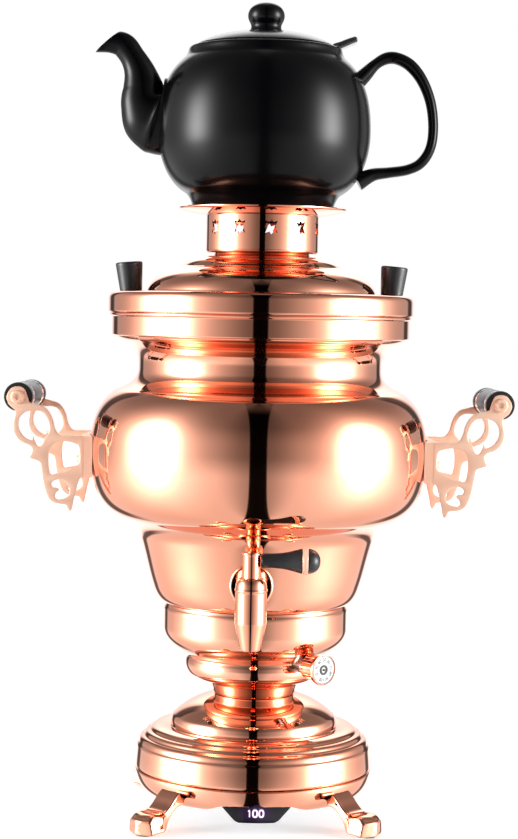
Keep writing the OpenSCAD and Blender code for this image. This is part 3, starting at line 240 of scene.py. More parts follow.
def sheet(*outline, step=0.7, blend=0.45, inner_step=3.0, around=192):
    """Sheet metal spun from its outer line. Its inside is the same line, moved to its left by the thickness."""
    line = ease(trace(*outline), step, blend)
    inside = even(beside(line, SHEET), inner_step)
    inside[:, 0] = np.maximum(inside[:, 0], 0)
    return spun(np.vstack([line, inside[::-1]]), around)


def on_axis(mesh, origin, along=(0, 0, 1)):
    """A piece drawn round +Z is carried to a new axis: the frame (u, v, w) has w along it, u level."""
    w = np.array(along, float) / np.linalg.norm(along)
    u = np.cross([0, 0, 1.0], w)
    u = np.array([1.0, 0, 0]) if np.linalg.norm(u) < 1e-9 else u / np.linalg.norm(u)
    return mesh[0] @ np.array([u, np.cross(w, u), w]) + np.array(origin, float), mesh[1]


def tube(path, half_thick, half_wide, sides=32):
    """Tube of elliptical section along a path in the XZ plane: at each stop the section's point at angle a is
    half_thick cos a across the path, in its plane, and half_wide sin a along Y."""
    along = headings(path)
    a = whole_turn(sides)
    out = half_thick[:, None] * np.cos(a)
    return np.stack([
        path[:, :1] - out * along[:, 1:], half_wide[:, None] * np.sin(a), path[:, 1:] + out * along[:, :1]], -1)


def pinched(strings):
    """The tube as points and faces, with each end drawn to its middle point."""
    first, last = (np.broadcast_to(ring.mean(0), ring.shape) for ring in (strings[0], strings[-1]))
    strings = np.concatenate([first[None], strings, last[None]])
    return strings.reshape(-1, 3), grid_faces(len(strings), strings.shape[1], False, True)


def joined(*parts):
    """Several (points, faces) pairs as one pair."""
    points, faces, shift = [], [], 0
    for p, f in parts:
        points.append(p)
        faces += [tuple(int(k) + shift for k in face) for face in f]
        shift += len(p)
    return np.vstack(points), faces


def merged(objects):
    """Several mesh objects as one mesh, with their places applied."""
    parts = []
    graph = bpy.context.evaluated_depsgraph_get()
    for o in objects:
        mesh = bpy.data.meshes.new_from_object(o.evaluated_get(graph))
        co = np.zeros(len(mesh.vertices) * 3)
        mesh.vertices.foreach_get("co", co)
        place = np.array(o.matrix_world)
        points = co.reshape(-1, 3) @ place[:3, :3].T + place[:3, 3]
        parts.append((points / MM, [tuple(p.vertices) for p in mesh.polygons]))
        bpy.data.meshes.remove(mesh)
    for o in objects:
        bpy.data.objects.remove(o)
    return joined(*parts)


# ---- materials ----

def group(name, inputs, outputs):
    """An empty shader node group with named sockets and their values: a number, a place of three or a colour
    of four numbers."""
    tree = bpy.data.node_groups.new(name, "ShaderNodeTree")
    for way, sockets in (("INPUT", inputs), ("OUTPUT", outputs)):
        for label, value in sockets.items():
            kind = {1: "Float", 3: "Vector", 4: "Color"}[np.size(value)]
            socket = tree.interface.new_socket(name=label, in_out=way, socket_type="NodeSocket" + kind)
            socket.default_value = value
    return tree, tree.nodes.new("NodeGroupInput"), tree.nodes.new("NodeGroupOutput")


def feed(tree, socket, value):
    """Links a socket to another node's output, or sets it to a plain value."""
    if isinstance(value, bpy.types.NodeSocket):
        tree.links.new(value, socket)
    else:
        socket.default_value = value


def node(tree, kind, settings=None, **sockets):
    """A new node with its properties set and its inputs set or linked. __ in a socket's name is a space."""
    n = tree.nodes.new(kind)
    for key, value in (settings or {}).items():
        setattr(n, key, value)
    for label, value in sockets.items():
        key = int(label[1:]) if label[1:].isdigit() else label.replace("__", " ")
        feed(tree, n.inputs[key], value)
    return n


def math_node(tree, operation, *values):
    """The output of a Math node."""
    n = node(tree, "ShaderNodeMath", {"operation": operation})
    for socket, value in zip(n.inputs, values):
        feed(tree, socket, value)
    return n.outputs[0]


def product(tree, first, *others):
    """The product of several values."""
    for value in others:
        first = math_node(tree, "MULTIPLY", first, value)
    return first


def between(tree, value, low, high, a=0.0, b=1.0):
    """A smooth step: a below low, b above high."""
    return node(tree, "ShaderNodeMapRange", {"interpolation_type": "SMOOTHSTEP"}, Value=value,
                From__Min=low, From__Max=high, To__Min=a, To__Max=b).outputs[0]


def mixed(tree, share, a, b):
    """A colour between a and b."""
    return node(tree, "ShaderNodeMix", {"data_type": "RGBA"}, _0=share, _6=a, _7=b).outputs[2]


def make_handling_wear():
    """Group: what polishing cloths and fingers leave on a shiny surface. Cloudy smears and fine wipe marks, as
    a mask for roughness and a very small height."""
    tree, given, out = group(
        "Handling wear", {"Vector": (0, 0, 0), "Smear size": 25.0, "Wipe marks": 0.5},
        {"Mask": 0.0, "Height": 0.0})
    place, size, marks = given.outputs[:3]
    smear = node(tree, "ShaderNodeTexNoise", Vector=place, Scale=size, Detail=4.0, Roughness=0.6)
    stretch = node(tree, "ShaderNodeVectorMath", {"operation": "MULTIPLY"}, _0=place, _1=(60.0, 60.0, 900.0))
    wipe = node(tree, "ShaderNodeTexNoise", Vector=stretch.outputs[0], Scale=1.0, Detail=2.0).outputs[0]
    lines = product(tree, between(tree, wipe, 0.5, 0.8), marks)
    both = math_node(tree, "ADD", between(tree, smear.outputs[0], 0.45, 0.75), lines)
    tree.links.new(both, out.inputs["Mask"])
    tree.links.new(wipe, out.inputs["Height"])
    return tree


def make_tarnish():
    """Group: slow colour drift of warm metal, from a pale to a deeper tone."""
    white = (1, 1, 1, 1)
    tree, given, out = group(
        "Tarnish", {"Vector": (0, 0, 0), "Light": white, "Deep": white, "Patch size": 12.0}, {"Color": white})
    place, light, deep, size = given.outputs[:4]
    drift = node(tree, "ShaderNodeTexNoise", Vector=place, Scale=size, Detail=3.0)
    tree.links.new(mixed(tree, between(tree, drift.outputs[0], 0.35, 0.7), light, deep), out.inputs["Color"])
    return tree


def make_fine_grain():
    """Group: fine moulded grain, as a height and a slight change of roughness."""
    tree, given, out = group(
        "Fine grain", {"Vector": (0, 0, 0), "Grain size": 900.0, "Roughness": 0.4, "Spread": 0.1},
        {"Roughness": 0.0, "Height": 0.0})
    place, size, roughness, spread = given.outputs[:4]
    speck = node(tree, "ShaderNodeTexNoise", Vector=place, Scale=size, Detail=2.0)
    patch = node(tree, "ShaderNodeTexNoise", Vector=place, Scale=40.0, Detail=3.0)
    change = product(tree, math_node(tree, "SUBTRACT", patch.outputs[0], 0.5), spread)
    tree.links.new(math_node(tree, "ADD", roughness, change), out.inputs["Roughness"])
    tree.links.new(speck.outputs[0], out.inputs["Height"])
    return tree


HANDLING_WEAR = make_handling_wear()
TARNISH = make_tarnish()
FINE_GRAIN = make_fine_grain()


def new_material(name, **shader):
    """A material with one Principled shader whose plain values are set on its own sockets."""
    material = bpy.data.materials.new(name)
    material.use_nodes = True
    tree = material.node_tree
    bsdf = tree.nodes["Principled BSDF"]
    for label, value in shader.items():
        bsdf.inputs[label.replace("__", " ")].default_value = value
    place = tree.nodes.new("ShaderNodeTexCoord").outputs["Object"]
    return material, tree, bsdf, place


def add_bump(tree, bsdf, height, strength):
    """A bump of 0.2 mm from a height."""
    bump = node(tree, "ShaderNodeBump", Height=height, Strength=strength, Distance=0.2 * MM)
    tree.links.new(bump.outputs[0], bsdf.inputs["Normal"])


def add_grain(tree, bsdf, place, roughness, spread):
    """A fine moulded grain in the roughness. The grain's height is given back."""
    fine = node(tree, "ShaderNodeGroup", {"node_tree": FINE_GRAIN}, Vector=place, Roughness=roughness,
                Spread=spread)
    tree.links.new(fine.outputs["Roughness"], bsdf.inputs["Roughness"])
    return fine.outputs["Height"]


def metal(name, light, deep, gloss, wear=0.03, wipe=0.4, bump=0.0, metallic=1.0):
    """Polished metal: tarnish drifts between two tones, and handling wear dulls it in places."""
    material, tree, bsdf, place = new_material(name, Metallic=metallic)
    tone = node(tree, "ShaderNodeGroup", {"node_tree": TARNISH}, Vector=place, Light=(*light, 1),
                Deep=(*deep, 1))
    tree.links.new(tone.outputs[0], bsdf.inputs["Base Color"])
    worn = node(tree, "ShaderNodeGroup", {"node_tree": HANDLING_WEAR}, Vector=place, Wipe__marks=wipe)
    tree.links.new(math_node(tree, "MULTIPLY_ADD", worn.outputs["Mask"], wear, gloss), bsdf.inputs["Roughness"])
    if bump:
        add_bump(tree, bsdf, worn.outputs["Height"], bump)
    return material


def moulded(name, color, roughness, grain=0.15, spread=0.08, **shader):
    """Moulded plastic or rubber: a fine grain on the surface, and patches that are a little duller."""
    material, tree, bsdf, place = new_material(name, **shader)
    tone = node(tree, "ShaderNodeGroup", {"node_tree": TARNISH}, Vector=place, Light=(*color, 1),
                Deep=(*(c * 0.8 for c in color), 1))
    tree.links.new(tone.outputs[0], bsdf.inputs["Base Color"])
    add_bump(tree, bsdf, add_grain(tree, bsdf, place, roughness, spread), grain)
    return material


COPPER = metal("Polished copper", (0.94, 0.425, 0.285), (0.91, 0.37, 0.235), 0.045)
CAST_COPPER = metal("Satin copper", (0.98, 0.64, 0.47), (0.96, 0.60, 0.435), 0.38, wear=0.06, bump=0.05,
                    metallic=0.2)
CHROME = metal("Bright chrome", (0.80, 0.80, 0.82), (0.72, 0.72, 0.75), 0.06)
STEEL = metal("Stainless steel", (0.62, 0.62, 0.63), (0.52, 0.52, 0.54), 0.22, wear=0.08, bump=0.1)
BRASS = metal("Turned brass", (0.80, 0.55, 0.22), (0.70, 0.45, 0.17), 0.22, wear=0.08)
PLASTIC = moulded("Black heat-proof plastic", (0.018, 0.018, 0.020), 0.34)
RUBBER = moulded("Black rubber", (0.035, 0.035, 0.036), 0.7, grain=0.4)
GLAZE = moulded("Black glaze", (0.0015, 0.0015, 0.002), 0.19, grain=0.0, spread=0.03, Specular__IOR__Level=0.17)
BOARD = moulded("Green circuit board", (0.02, 0.11, 0.045), 0.4)
DIAL = moulded("White dial", (0.86, 0.86, 0.84), 0.35, grain=0.05)
INK = moulded("Dark grey ink", (0.03, 0.03, 0.035), 0.5)
SLOTS = {"Polished copper": "copper", "Satin copper": "copper", "Bright chrome": "chrome",
         "Black heat-proof plastic": "black_plastic", "Black glaze": "ceramic", "White dial": "dial",
         "Dark grey ink": "dial", "Smoked panel": "display", "Digit light": "display"}


def make_panel_glass():
    """Smoked gloss panel with a faint violet glow round its lit digits: the glow falls off with the distance
    from the digits, measured sideways and up."""
    material, tree, bsdf, place = new_material(
        "Smoked panel", Base__Color=(0.006, 0.006, 0.009, 1), Coat__Weight=0.3, Emission__Strength=1.0)
    split = node(tree, "ShaderNodeSeparateXYZ", Vector=place)
    side = math_node(tree, "DIVIDE", math_node(tree, "SUBTRACT", split.outputs[0], 0.0031), 0.0115)
    up = math_node(tree, "DIVIDE", math_node(tree, "SUBTRACT", split.outputs[2], 0.0140), 0.0062)
    far = math_node(tree, "SQRT", math_node(tree, "ADD", product(tree, side, side), product(tree, up, up)))
    glow = mixed(tree, between(tree, far, 0.3, 1.3, 1.0, 0.0), (0, 0, 0, 1), (0.035, 0.012, 0.05, 1))
    tree.links.new(glow, bsdf.inputs["Emission Color"])
    add_grain(tree, bsdf, place, 0.12, 0.05)
    return material


def make_digit_light():
    """Lit digits: white in the middle of a stroke and violet towards its edges, by the UV's v."""
    material, tree, bsdf, _ = new_material(
        "Digit light", Base__Color=(0.02, 0.02, 0.02, 1), Roughness=0.4, Emission__Strength=1.3)
    uv = node(tree, "ShaderNodeUVMap", {"uv_map": "UVMap"})
    split = node(tree, "ShaderNodeSeparateXYZ", Vector=uv.outputs[0])
    off = math_node(tree, "ABSOLUTE", math_node(tree, "SUBTRACT", split.outputs[1], 0.5))
    light = mixed(tree, between(tree, off, 0.2, 0.5), (1.0, 0.97, 1.0, 1), (0.72, 0.42, 0.85, 1))
    tree.links.new(light, bsdf.inputs["Emission Color"])
    return material


PANEL = make_panel_glass()
DIGITS = make_digit_light()


# ---- base ----

def make_skirt():
    """Skirt of the base. Its outside has the radius r(z); the lower edge is scalloped and ends at edge(a)
    at turn a, low at the feet and high between them. It is a sheet: the inside is the same grid moved
    inwards."""
    around, top = 480, 29.35
    a = np.linspace(0, 360, around, endpoint=False)
    swing = np.abs((a + 45) % 90 - 45)              # from the middle of each side, 0 to 45
    reach = np.clip((swing - 14) / 14, 0, 1)
    display = np.abs((a - 270 + 180) % 360 - 180)
    edge = 19.1 - 4.4 * smooth_step(reach) + 2.1 * np.exp(-(display / 2.2) ** 2)
    line = trace((70.4, 13.6), ((74.6, 16.4), (77.6, 20.6), (78.5, 27.6)), (78.5, 29.0), (77.7, top))
    line = ease(line, 0.4, 0.3)
    t = 1 - (1 - np.linspace(0, 1, 41)[:, None]) ** 2
    z = edge + (top - edge) * t
    r = np.interp(z, line[:, 1], line[:, 0])
    turn = np.radians(a + BASE_TURN)
    points = np.concatenate([polar(r, turn, z), polar(r - SHEET, turn, z)[::-1]])
    return points.reshape(-1, 3), grid_faces(len(points), around, True, True)


def make_cover():
    """Spun cover of the base, from its wall over two low ridges and the dome to the neck."""
    return sheet(
        (77.6, 29.9), (78.45, 30.5), ((78.2, 36), (77.6, 41), (77.4, 45.0)),
        (76.7, 45.4), ((76.3, 45.6), (76.2, 46.2), (76.1, 46.8)), ((76.0, 48.8), (75.0, 50.2), (73.0, 50.8)),
        (72.3, 51.0), ((72.1, 52.6), (71.2, 53.8), (69.2, 54.2)), (68.5, 54.4),
        ((68.0, 56.0), (65.6, 57.7), (61.0, 57.9)), ((58.4, 57.9), (56.2, 57.7), (54.9, 57.2)),
        ((54.9, 60.0), (55.0, 63.4), (53.2, 64.8)), ((49.0, 68.6), (41.0, 75.6), (26.4, NECK_Z)), (8.1, NECK_Z))


def make_foot(turn):
    """Curled foot. At distance x from the axis it has a top and an underside level and a half-width w, and its
    section is the rounded box |y/w|^7 + |(z-mid)/h|^7 = 1. The hoof widens downwards, its front is drawn
    back by 0.4 |y| to a blunt wedge, and shrinking rings close it."""
    start, toe, around = 66.8, 107.2, 64
    top = smooth_through([
        (start, 19.8), (69.6, 23.6), (73.9, 26.1), (77.5, 24.9), (81.5, 21.4), (85.8, 17.0), (89.6, 14.4),
        (93.2, 13.6), (97.8, 13.8), (102.0, 13.5), (105.0, 12.3), (toe, 10.4)], 6)
    low = smooth_through([(start, 13.2), (69.5, 13.6), (73.5, 15.2), (77.5, 15.0), (80.8, 13.4), (84.0, 10.8),
                          (86.8, 7.4), (88.8, 4.0), (90.4, 1.6), (92.0, 1.0), (100, 1.0), (toe, 1.0)], 6)
    closing = np.array([[0, 1], [0.3, 0.985], [0.55, 0.95], [0.7, 0.88], [0.75, 0.6], [0.75, 0.3],
                        [0.75, 0.02]])
    x = np.concatenate([np.linspace(start, toe, 72)[:-1], toe + closing[:, 0]])
    shrink = np.concatenate([np.ones(71), closing[:, 1]])[:, None]
    upper, under = np.interp(x, top[:, 0], top[:, 1]), np.interp(x, low[:, 0], low[:, 1])
    hoof = smooth_step(np.clip((x - 85) / 9, 0, 1))[:, None]
    a = whole_turn(around)
    cos, sin = signed_power(np.cos(a), 2 / 7), signed_power(np.sin(a), 2 / 7)
    middle, half = (upper + under)[:, None] / 2, (upper - under)[:, None] / 2
    z = middle + half * shrink * sin
    down = np.clip((13.5 - z) / 12.5, 0, 1)
    y = (8.4 + hoof * (0.1 + 2.5 * down)) * shrink * cos
    front = np.clip((x - 93) / 13, 0, 1)[:, None]
    points = np.stack([x[:, None] - 0.4 * np.abs(y) * front, y, z], -1)
    faces = grid_faces(len(x), around, False, True)[:, ::-1].tolist()
    faces += [list(range(around)), [len(x) * around - 1 - k for k in range(around)]]
    return turn_z(points.reshape(-1, 3), turn), [f[::-1] for f in faces]


def flat_plate(name, outlines, half, bevel):
    """Mesh of a flat curve: outer outline and holes in the XZ plane, thickened along Y, with rounded edges."""
    curve = bpy.data.curves.new(name, "CURVE")
    curve.dimensions = "2D"
    curve.fill_mode = "BOTH"
    curve.extrude = (half - bevel) * MM
    curve.bevel_depth = bevel * MM
    curve.bevel_resolution = 3
    curve.offset = -bevel * MM
    for outline in outlines:
        spline = curve.splines.new("POLY")
        spline.points.add(len(outline) - 1)
        flat = np.zeros((len(outline), 4))
        flat[:, :2], flat[:, 3] = outline * MM, 1
        spline.points.foreach_set("co", flat.ravel())
        spline.use_cyclic_u = True
    points, faces = merged([add_object(name, curve)])
    return np.column_stack([points[:, 0], -points[:, 2], points[:, 1]]), faces


def make_display():
    """Smoked panel below the skirt: a flat plate whose face is bent to the skirt's radius."""
    outline = ease(trace((-23.3, 20.0), (-23.1, 18.8), (-14.2, 9.2), (-11.4, 7.9), (11.4, 7.9), (14.2, 9.2),
                         (23.1, 18.8), (23.3, 20.0), (-23.3, 20.0)), 0.6, 0.3)[:-1]
    points, faces = flat_plate("display", [outline], 3.0, 0.35)
    points[:, 1] += 3.0 - np.sqrt(PANEL_R ** 2 - points[:, 0] ** 2)
    return turn_z(points, BASE_TURN), faces


def ribbon(path, width):
    """Flat stroke of a digit: width/2 to either side of a path in the XZ plane, v from 0 to 1 across it."""
    along = headings(path)
    across = np.column_stack([-along[:, 1], along[:, 0]])
    v = np.linspace(-0.5, 0.5, 9)
    flat = path[:, None, :] + across[:, None, :] * (v * width)[None, :, None]
    points = np.stack([flat[..., 0], np.zeros(flat.shape[:2]), flat[..., 1]], -1)
    uv = np.stack([np.broadcast_to(np.linspace(0, 1, len(path))[:, None], flat.shape[:2]),
                   np.broadcast_to(v + 0.5, flat.shape[:2])], -1)
    return points.reshape(-1, 3), grid_faces(len(path), 9, False, False), uv.reshape(-1, 2)


def make_digits():
    """The temperature reading, three digits drawn as strokes: a bar with a short flag, and two rings that
    follow a racetrack line."""
    turn = np.linspace(0, 2 * np.pi, 61)
    racetrack = np.column_stack([1.35 * signed_power(np.cos(turn), 0.7),
                                 2.15 * signed_power(np.sin(turn), 0.8)])
    parts, marks = [], []
    strokes = [(ease(trace((-5.3, 15.5), (-4.4, 16.4), (-4.4, 11.9)), 0.3, 0.3), 0.85),
               (racetrack + [-0.9, 14.2], 1.2), (racetrack + [3.1, 14.2], 1.2)]
    for path, width in strokes:
        points, faces, uv = ribbon(path, width)
        points[:, 1] = -np.sqrt((PANEL_R + 0.15) ** 2 - points[:, 0] ** 2)
        parts.append((points, faces))
        marks.append(uv)
    points, faces = joined(*parts)
    return turn_z(points, BASE_TURN), faces, np.vstack(marks)


piece("skirt_sheet", *make_skirt(), COPPER, "base_skirt", sharp=60)
piece("cover_sheet", *make_cover(), COPPER, "base_cover")
for place, turn in {"front_left": 225, "front_right": 315, "rear_left": 135, "rear_right": 45}.items():
    foot = make_foot(turn + BASE_TURN)
    piece("curled_foot_" + place, *foot, COPPER, "foot_" + place, sharp=50)
piece("smoked_panel", *make_display(), PANEL, "display_panel")
digit_points, digit_faces, digit_uv = make_digits()
piece("lit_digits", digit_points, digit_faces, DIGITS, uv=digit_uv)


# ---- housing, tank and band ----

def make_housing():
    """Spun heater housing: a bell on the neck, a groove, and a bowl up to the straight wall."""
    return sheet((8.1, NECK_Z), (26.5, NECK_Z), ((27.5, 81.5), (28.6, 84.4), (29.9, 86.9)),
                 ((33.0, 88.0), (41.0, 89.2), (44.2, 92.7)), ((46.0, 95.2), (46.8, 99.0), (45.6, 102.2)),
                 ((45.0, 103.4), (44.6, 103.4), (45.2, 104.4)), ((50.4, 107.9), (60.8, 113.2), (61.0, 122.4)),
                 (61.0, 136.4), (60.0, 137.4), (60.0, TANK_Z), (51.2, TANK_Z), step=0.8, blend=0.5)


def make_tank():
    """Spun tank: bowl, bulb, throat and mouth in one sheet, with its floor."""
    return sheet(
        (0, TANK_Z), (59.8, TANK_Z), ((65.0, 140.0), (67.6, 146.4), (69.3, 152.4)),
        ((71.9, 160.4), (73.8, 170.4), (78.1, WAIST_Z)), ((80.2, 188.6), (83.7, 192.8), (93.3, 196.8)),
        ((105.3, 202.8), (111.3, 217.1), (111.3, 240.5)), ((111.3, 261.5), (104.9, 272.8), (94.5, 280.0)),
        ((85.9, 282.8), (80.2, 287.4), (80.2, THROAT_Z)), (80.2, 299.0),
        ((80.4, 304.5), (84.5, 309.0), (94.5, 312.9)), (95.95, 314.5), (96.95, 315.4), (96.95, 329.3),
        step=1.0, blend=0.9, inner_step=4.0, around=176)


def make_band():
    """Band round the tank's mouth, with its bead."""
    return turned(
        (97.0, 315.2), (98.2, 315.8), (98.2, 327.9), ((99.9, 327.9), (99.9, MOUTH_Z), (98.6, MOUTH_Z)),
        (95.75, MOUTH_Z), (95.75, 329.3), (97.0, 329.3), (97.0, 315.2), step=0.4, blend=0.22, around=192)


piece("heater_bell", *make_housing(), COPPER, "heater_housing")
piece("tank_sheet", *make_tank(), COPPER, ("tank", "tank_bowl"))
piece("mouth_band", *make_band(), COPPER, "rim_band")


# ---- tap ----

def make_tap():
    """Tap body: the spout and barrel are turned about the upright axis, and the pipe to the tank about a level
    one that leaves the barrel to the rear."""
    barrel = turned((3.6, 123.3), (5.6, 123.3), (6.2, 123.9), (9.8, 140.3), (9.8, 160.2), (10.25, 160.6),
                    (10.25, 161.6), (9.8, 162.0), ((9.8, 165.2), (8.6, 168.4), (7.0, 168.6)), (5.45, 168.6),
                    (5.45, 150.5), (3.6, 150.5), (3.6, 123.3), blend=0.25)
    pipe = turned((0, 8.0), (6.0, 8.0), (6.0, 40.6), (3.6, 40.6), (3.6, 9.0), (0, 9.0), step=0.8, blend=0.2,
                  around=64)
    return joined(on_axis(barrel, (*TAP[:2], 0)), on_axis(pipe, TAP, (0, 1, 0)))


def make_flange():
    """Flange between tap and tank: a disc with a rolled edge."""
    disc = turned((6.05, 27.6), (13.2, 27.6), (14.0, 28.6), (14.0, 36.4), (6.05, 36.4), (6.05, 27.6))
    return on_axis(disc, TAP, (0, 1, 0))


def make_plug():
    """Turning plug above the barrel, with its cap."""
    plug = turned((0, 150.6), (5.4, 150.6), (5.4, 182.9), (5.9, 183.0), (5.9, 184.1), (5.4, 184.5), (0, 184.5),
                  blend=0.2, around=72)
    return on_axis(plug, (*TAP[:2], 0))


def lever_part(*outline):
    """A part of the lever, turned about the level axis that points right from the plug."""
    return on_axis(turned(*outline, around=72), (*TAP[:2], LEVER_Z), (1, 0, 0))


piece("tap_shell", *make_tap(), COPPER, "tap_body")
piece("tap_collar", *make_flange(), COPPER, "tap_flange")
piece("plug_turning", *make_plug(), COPPER, "tap_plug", body="tap_key")
piece("lever_handle", *lever_part((0, 5.6), (3.7, 5.6), (4.4, 6.6), ((4.4, 21.4), (5.9, 23.5), (7.9, 31.2)),
                                  (0, 31.2)), PLASTIC, "tap_lever", body="tap_key")
piece("lever_band", *lever_part((0, 31.2), (8.0, 31.2), (8.3, 31.8), (8.3, 34.2), (8.0, 34.8), (0, 34.8)),
      CAST_COPPER, "lever_ring", body="tap_key")
piece("lever_end", *lever_part((0, 34.8), (7.9, 34.8), ((7.3, 40.1), (4.3, 42.4), (0, 42.4))),
      PLASTIC, "lever_tip", body="tap_key")


# ---- temperature knob ----

def on_knob(mesh):
    """A part of the knob, carried to the knob's level axis."""
    a = math.radians(KNOB_SIDE)
    return on_axis(mesh, (0, 0, KNOB_Z), (math.sin(a), -math.cos(a), 0))


def make_knob():
    """Knob: a barrel with flutes, whose radius dips at turn a by flute(a) along its length, and a smooth rim
    with a recess for the dial."""
    around = FLUTES * 12
    a = whole_turn(around)
    flute = np.clip(np.cos(FLUTES * a) - 0.1, 0, 1) ** 0.7 * 0.7
    line = ease(trace((3.05, 55.0), (7.6, 55.0), (8.0, 55.5), (8.0, 65.9), (9.8, 66.5), (10.2, 67.2),
                      (10.2, 69.0), (9.9, 69.5), (9.5, 69.5), (9.4, 68.3), (0, 68.3)), 0.35, 0.16)
    along = np.clip((line[:, 1] - 54.9) / 0.6, 0, 1) * np.clip(
        (66.0 - line[:, 1]) / 0.8, 0, 1) * (line[:, 0] > 7)
    r = line[:, :1] - along[:, None] * flute
    return on_knob((polar(r, a, line[:, 1:]).reshape(-1, 3), grid_faces(len(line), around, False, True)))


def make_dial():
    """White dial with a shallow dish."""
    return on_knob(turned((0, 68.3), (9.38, 68.3), (9.38, 69.0), (9.1, 69.15), (0, 69.05), step=0.4,
                          blend=0.12))


def make_dial_marks():
    """Ring, centre dot and numbers on the dial. Each number is turned to its place round the dial."""
    ring = turned((1.8, 69.1), (3.2, 69.1), (3.3, 69.4), (3.2, 69.7), (2.0, 69.7), (1.8, 69.4), (1.8, 69.1),
                  step=0.15, blend=0.08, around=64)
    rim = turned((8.7, 69.1), (9.05, 69.1), (9.05, 69.28), (8.7, 69.28), (8.7, 69.1), step=0.12, blend=0.06)
    dot = turned((0, 69.1), (0.9, 69.1), (0.9, 69.5), (0, 69.7), step=0.15, blend=0.08, around=32)
    texts = []
    for k, number in enumerate(("0", "30", "40", "50", "60", "70", "80", "90", "100")):
        data = bpy.data.curves.new("number", "FONT")
        data.body, data.size, data.align_x, data.align_y = number, 3.1 * MM, "CENTER", "CENTER"
        data.extrude, data.offset = 0.04 * MM, 0.06 * MM
        obj = add_object("number", data)
        a = math.radians(200 - 38 * k)
        obj.rotation_euler = (0, 0, a - math.pi / 2)
        obj.location = polar(6.3, a, 69.14) * MM
        texts.append(obj)
    bpy.context.view_layer.update()
    return on_knob(joined(ring, rim, dot, merged(texts)))


piece("fluted_knob", *make_knob(), COPPER, "knob", sharp=30, body="temperature_knob")
piece("dial_face", *make_dial(), DIAL, "knob_dial", body="temperature_knob")
piece("dial_numbers", *make_dial_marks(), INK, body="temperature_knob")


# ---- side handles ----

NECK_AT = np.array([GRIP_X - BRACKET_X, GRIP_Z - BRACKET_Z])
SCROLL_OUTER = [
    [0, 13.4], [8, 13.6], [14.4, 13.4], [17, 14.8], [19.2, 18.6], [20.4, 23.4], [22.6, 28.2], [26, 31.8],
    [31, 33.4], [35.8, 34.8], NECK_AT + [-6.6, -0.6], NECK_AT + [-3.6, 6], NECK_AT + [3.4, 6.2],
    NECK_AT + [7.2, 0.4], NECK_AT + [5.6, -5.2], NECK_AT + [1.4, -9.2], [45.6, 24], [46.2, 18.6],
    [44.8, 13.2], [40.8, 9], [35.6, 6.8], [33.6, 4.4], [34.2, 1], [35.4, -1.4], [32, -2.6], [28.4, -4.4],
    [27.2, -10.4], [26, -17], [24.6, -22.4], [22.4, -27.6], [18.8, -30.4], [14.2, -31.2], [11, -31.8],
    [9.8, -34.2], [8.6, -35.6], [7.4, -34.6], [6.2, -28.6], [4.8, -22.6], [3.4, -17], [2, -14.2], [0, -13.6]]
SCROLL_RING_HOLE = [
    [35, 29.2], [39.4, 27.8], [42.4, 24.2], [43, 18.8], [41, 14.2], [37.2, 11], [34.2, 10.2], [33.2, 12.4],
    [32, 9.4], [30.4, 6.6], [28.4, 6.2], [26.6, 8.6], [25.4, 12], [23.4, 14.2], [22.4, 17.8], [23.2, 22.4],
    [25.4, 26.8], [29, 29.2]]
SCROLL_WINDOW = [
    [3.4, 7], [6.4, 8.6], [10.4, 9.6], [15.6, 9.6], [19.8, 8], [22.4, 4.4], [23, -1.4], [22.6, -7.8],
    [21.2, -12], [18, -11.4], [13, -10.4], [9.6, -8.6], [5.8, -6.6], [3.2, -4.6], [2.4, 0]]
SCROLL_KIDNEY = [
    [16.6, -15.2], [19.4, -16.2], [20.8, -18.2], [19.8, -20.4], [17.4, -20.6], [15.8, -22], [17.8, -24.2],
    [18.4, -26.6], [17, -28.2], [13.4, -27.8], [10.2, -26.2], [8.8, -23.6], [9.2, -20.4], [11.4, -16.8],
    [14, -15.2]]


def to_side(points, faces, side):
    """A piece drawn for the right-hand handle, turned with it, and mirrored for the left-hand one."""
    points = turn_z(points, HANDLE_TURN)
    if side < 0:
        points = points * [-1, 1, 1]
        faces = [tuple(f)[::-1] for f in faces]
    return points, faces


def make_scroll(y, side):
    """Pierced scroll plate: smooth outlines through its stops, filled as a flat curve."""
    holes = [smooth_through(stops, 4, True) for stops in (SCROLL_RING_HOLE, SCROLL_WINDOW, SCROLL_KIDNEY)]
    points, faces = flat_plate("scroll", [smooth_through(SCROLL_OUTER, 4), *holes], SCROLL_T / 2, 0.45)
    return to_side(points + [BRACKET_X, y + math.copysign(SCROLL_T / 2, y), BRACKET_Z], faces, side)


def make_bracket(side):
    """Bracket: a block with rounded edges between the scroll plates. Its back at sideways place y is at
    sqrt(radius^2 - y^2), the bulb's surface."""
    wide = SCROLL_Y + SCROLL_T
    y = np.concatenate([[-wide], np.linspace(-wide + 0.4, wide - 0.4, 41), [wide]])
    face_x = np.where(np.abs(y) < SCROLL_Y, BRACKET_X + 3.4, BRACKET_X)
    back_x = np.sqrt(BULB_R ** 2 - y ** 2)
    rows = [np.column_stack([x, y, np.full(len(y), z)]) for x, z in (
        (face_x - 0.4, -13.5), (face_x, -13.1), (face_x, 13.1), (face_x - 0.4, 13.5), (back_x, 13.5),
        (back_x, -13.5))]
    count = len(y)
    faces = grid_faces(len(rows), count, True, False).tolist()
    end = [k * count for k in range(len(rows))]
    faces += [end, [k + count - 1 for k in end[::-1]]]
    return to_side(np.vstack(rows) + [0, 0, BRACKET_Z], [f[::-1] for f in faces], side)


def handle_part(side, *outline, **how):
    """A part at each end of the grip, turned about the grip's axis, which runs front to back."""
    mesh = turned(*outline, around=72, **how)
    return to_side(*joined(*(on_axis(mesh, (GRIP_X, 0, GRIP_Z), (0, end, 0)) for end in (-1, 1))), side)


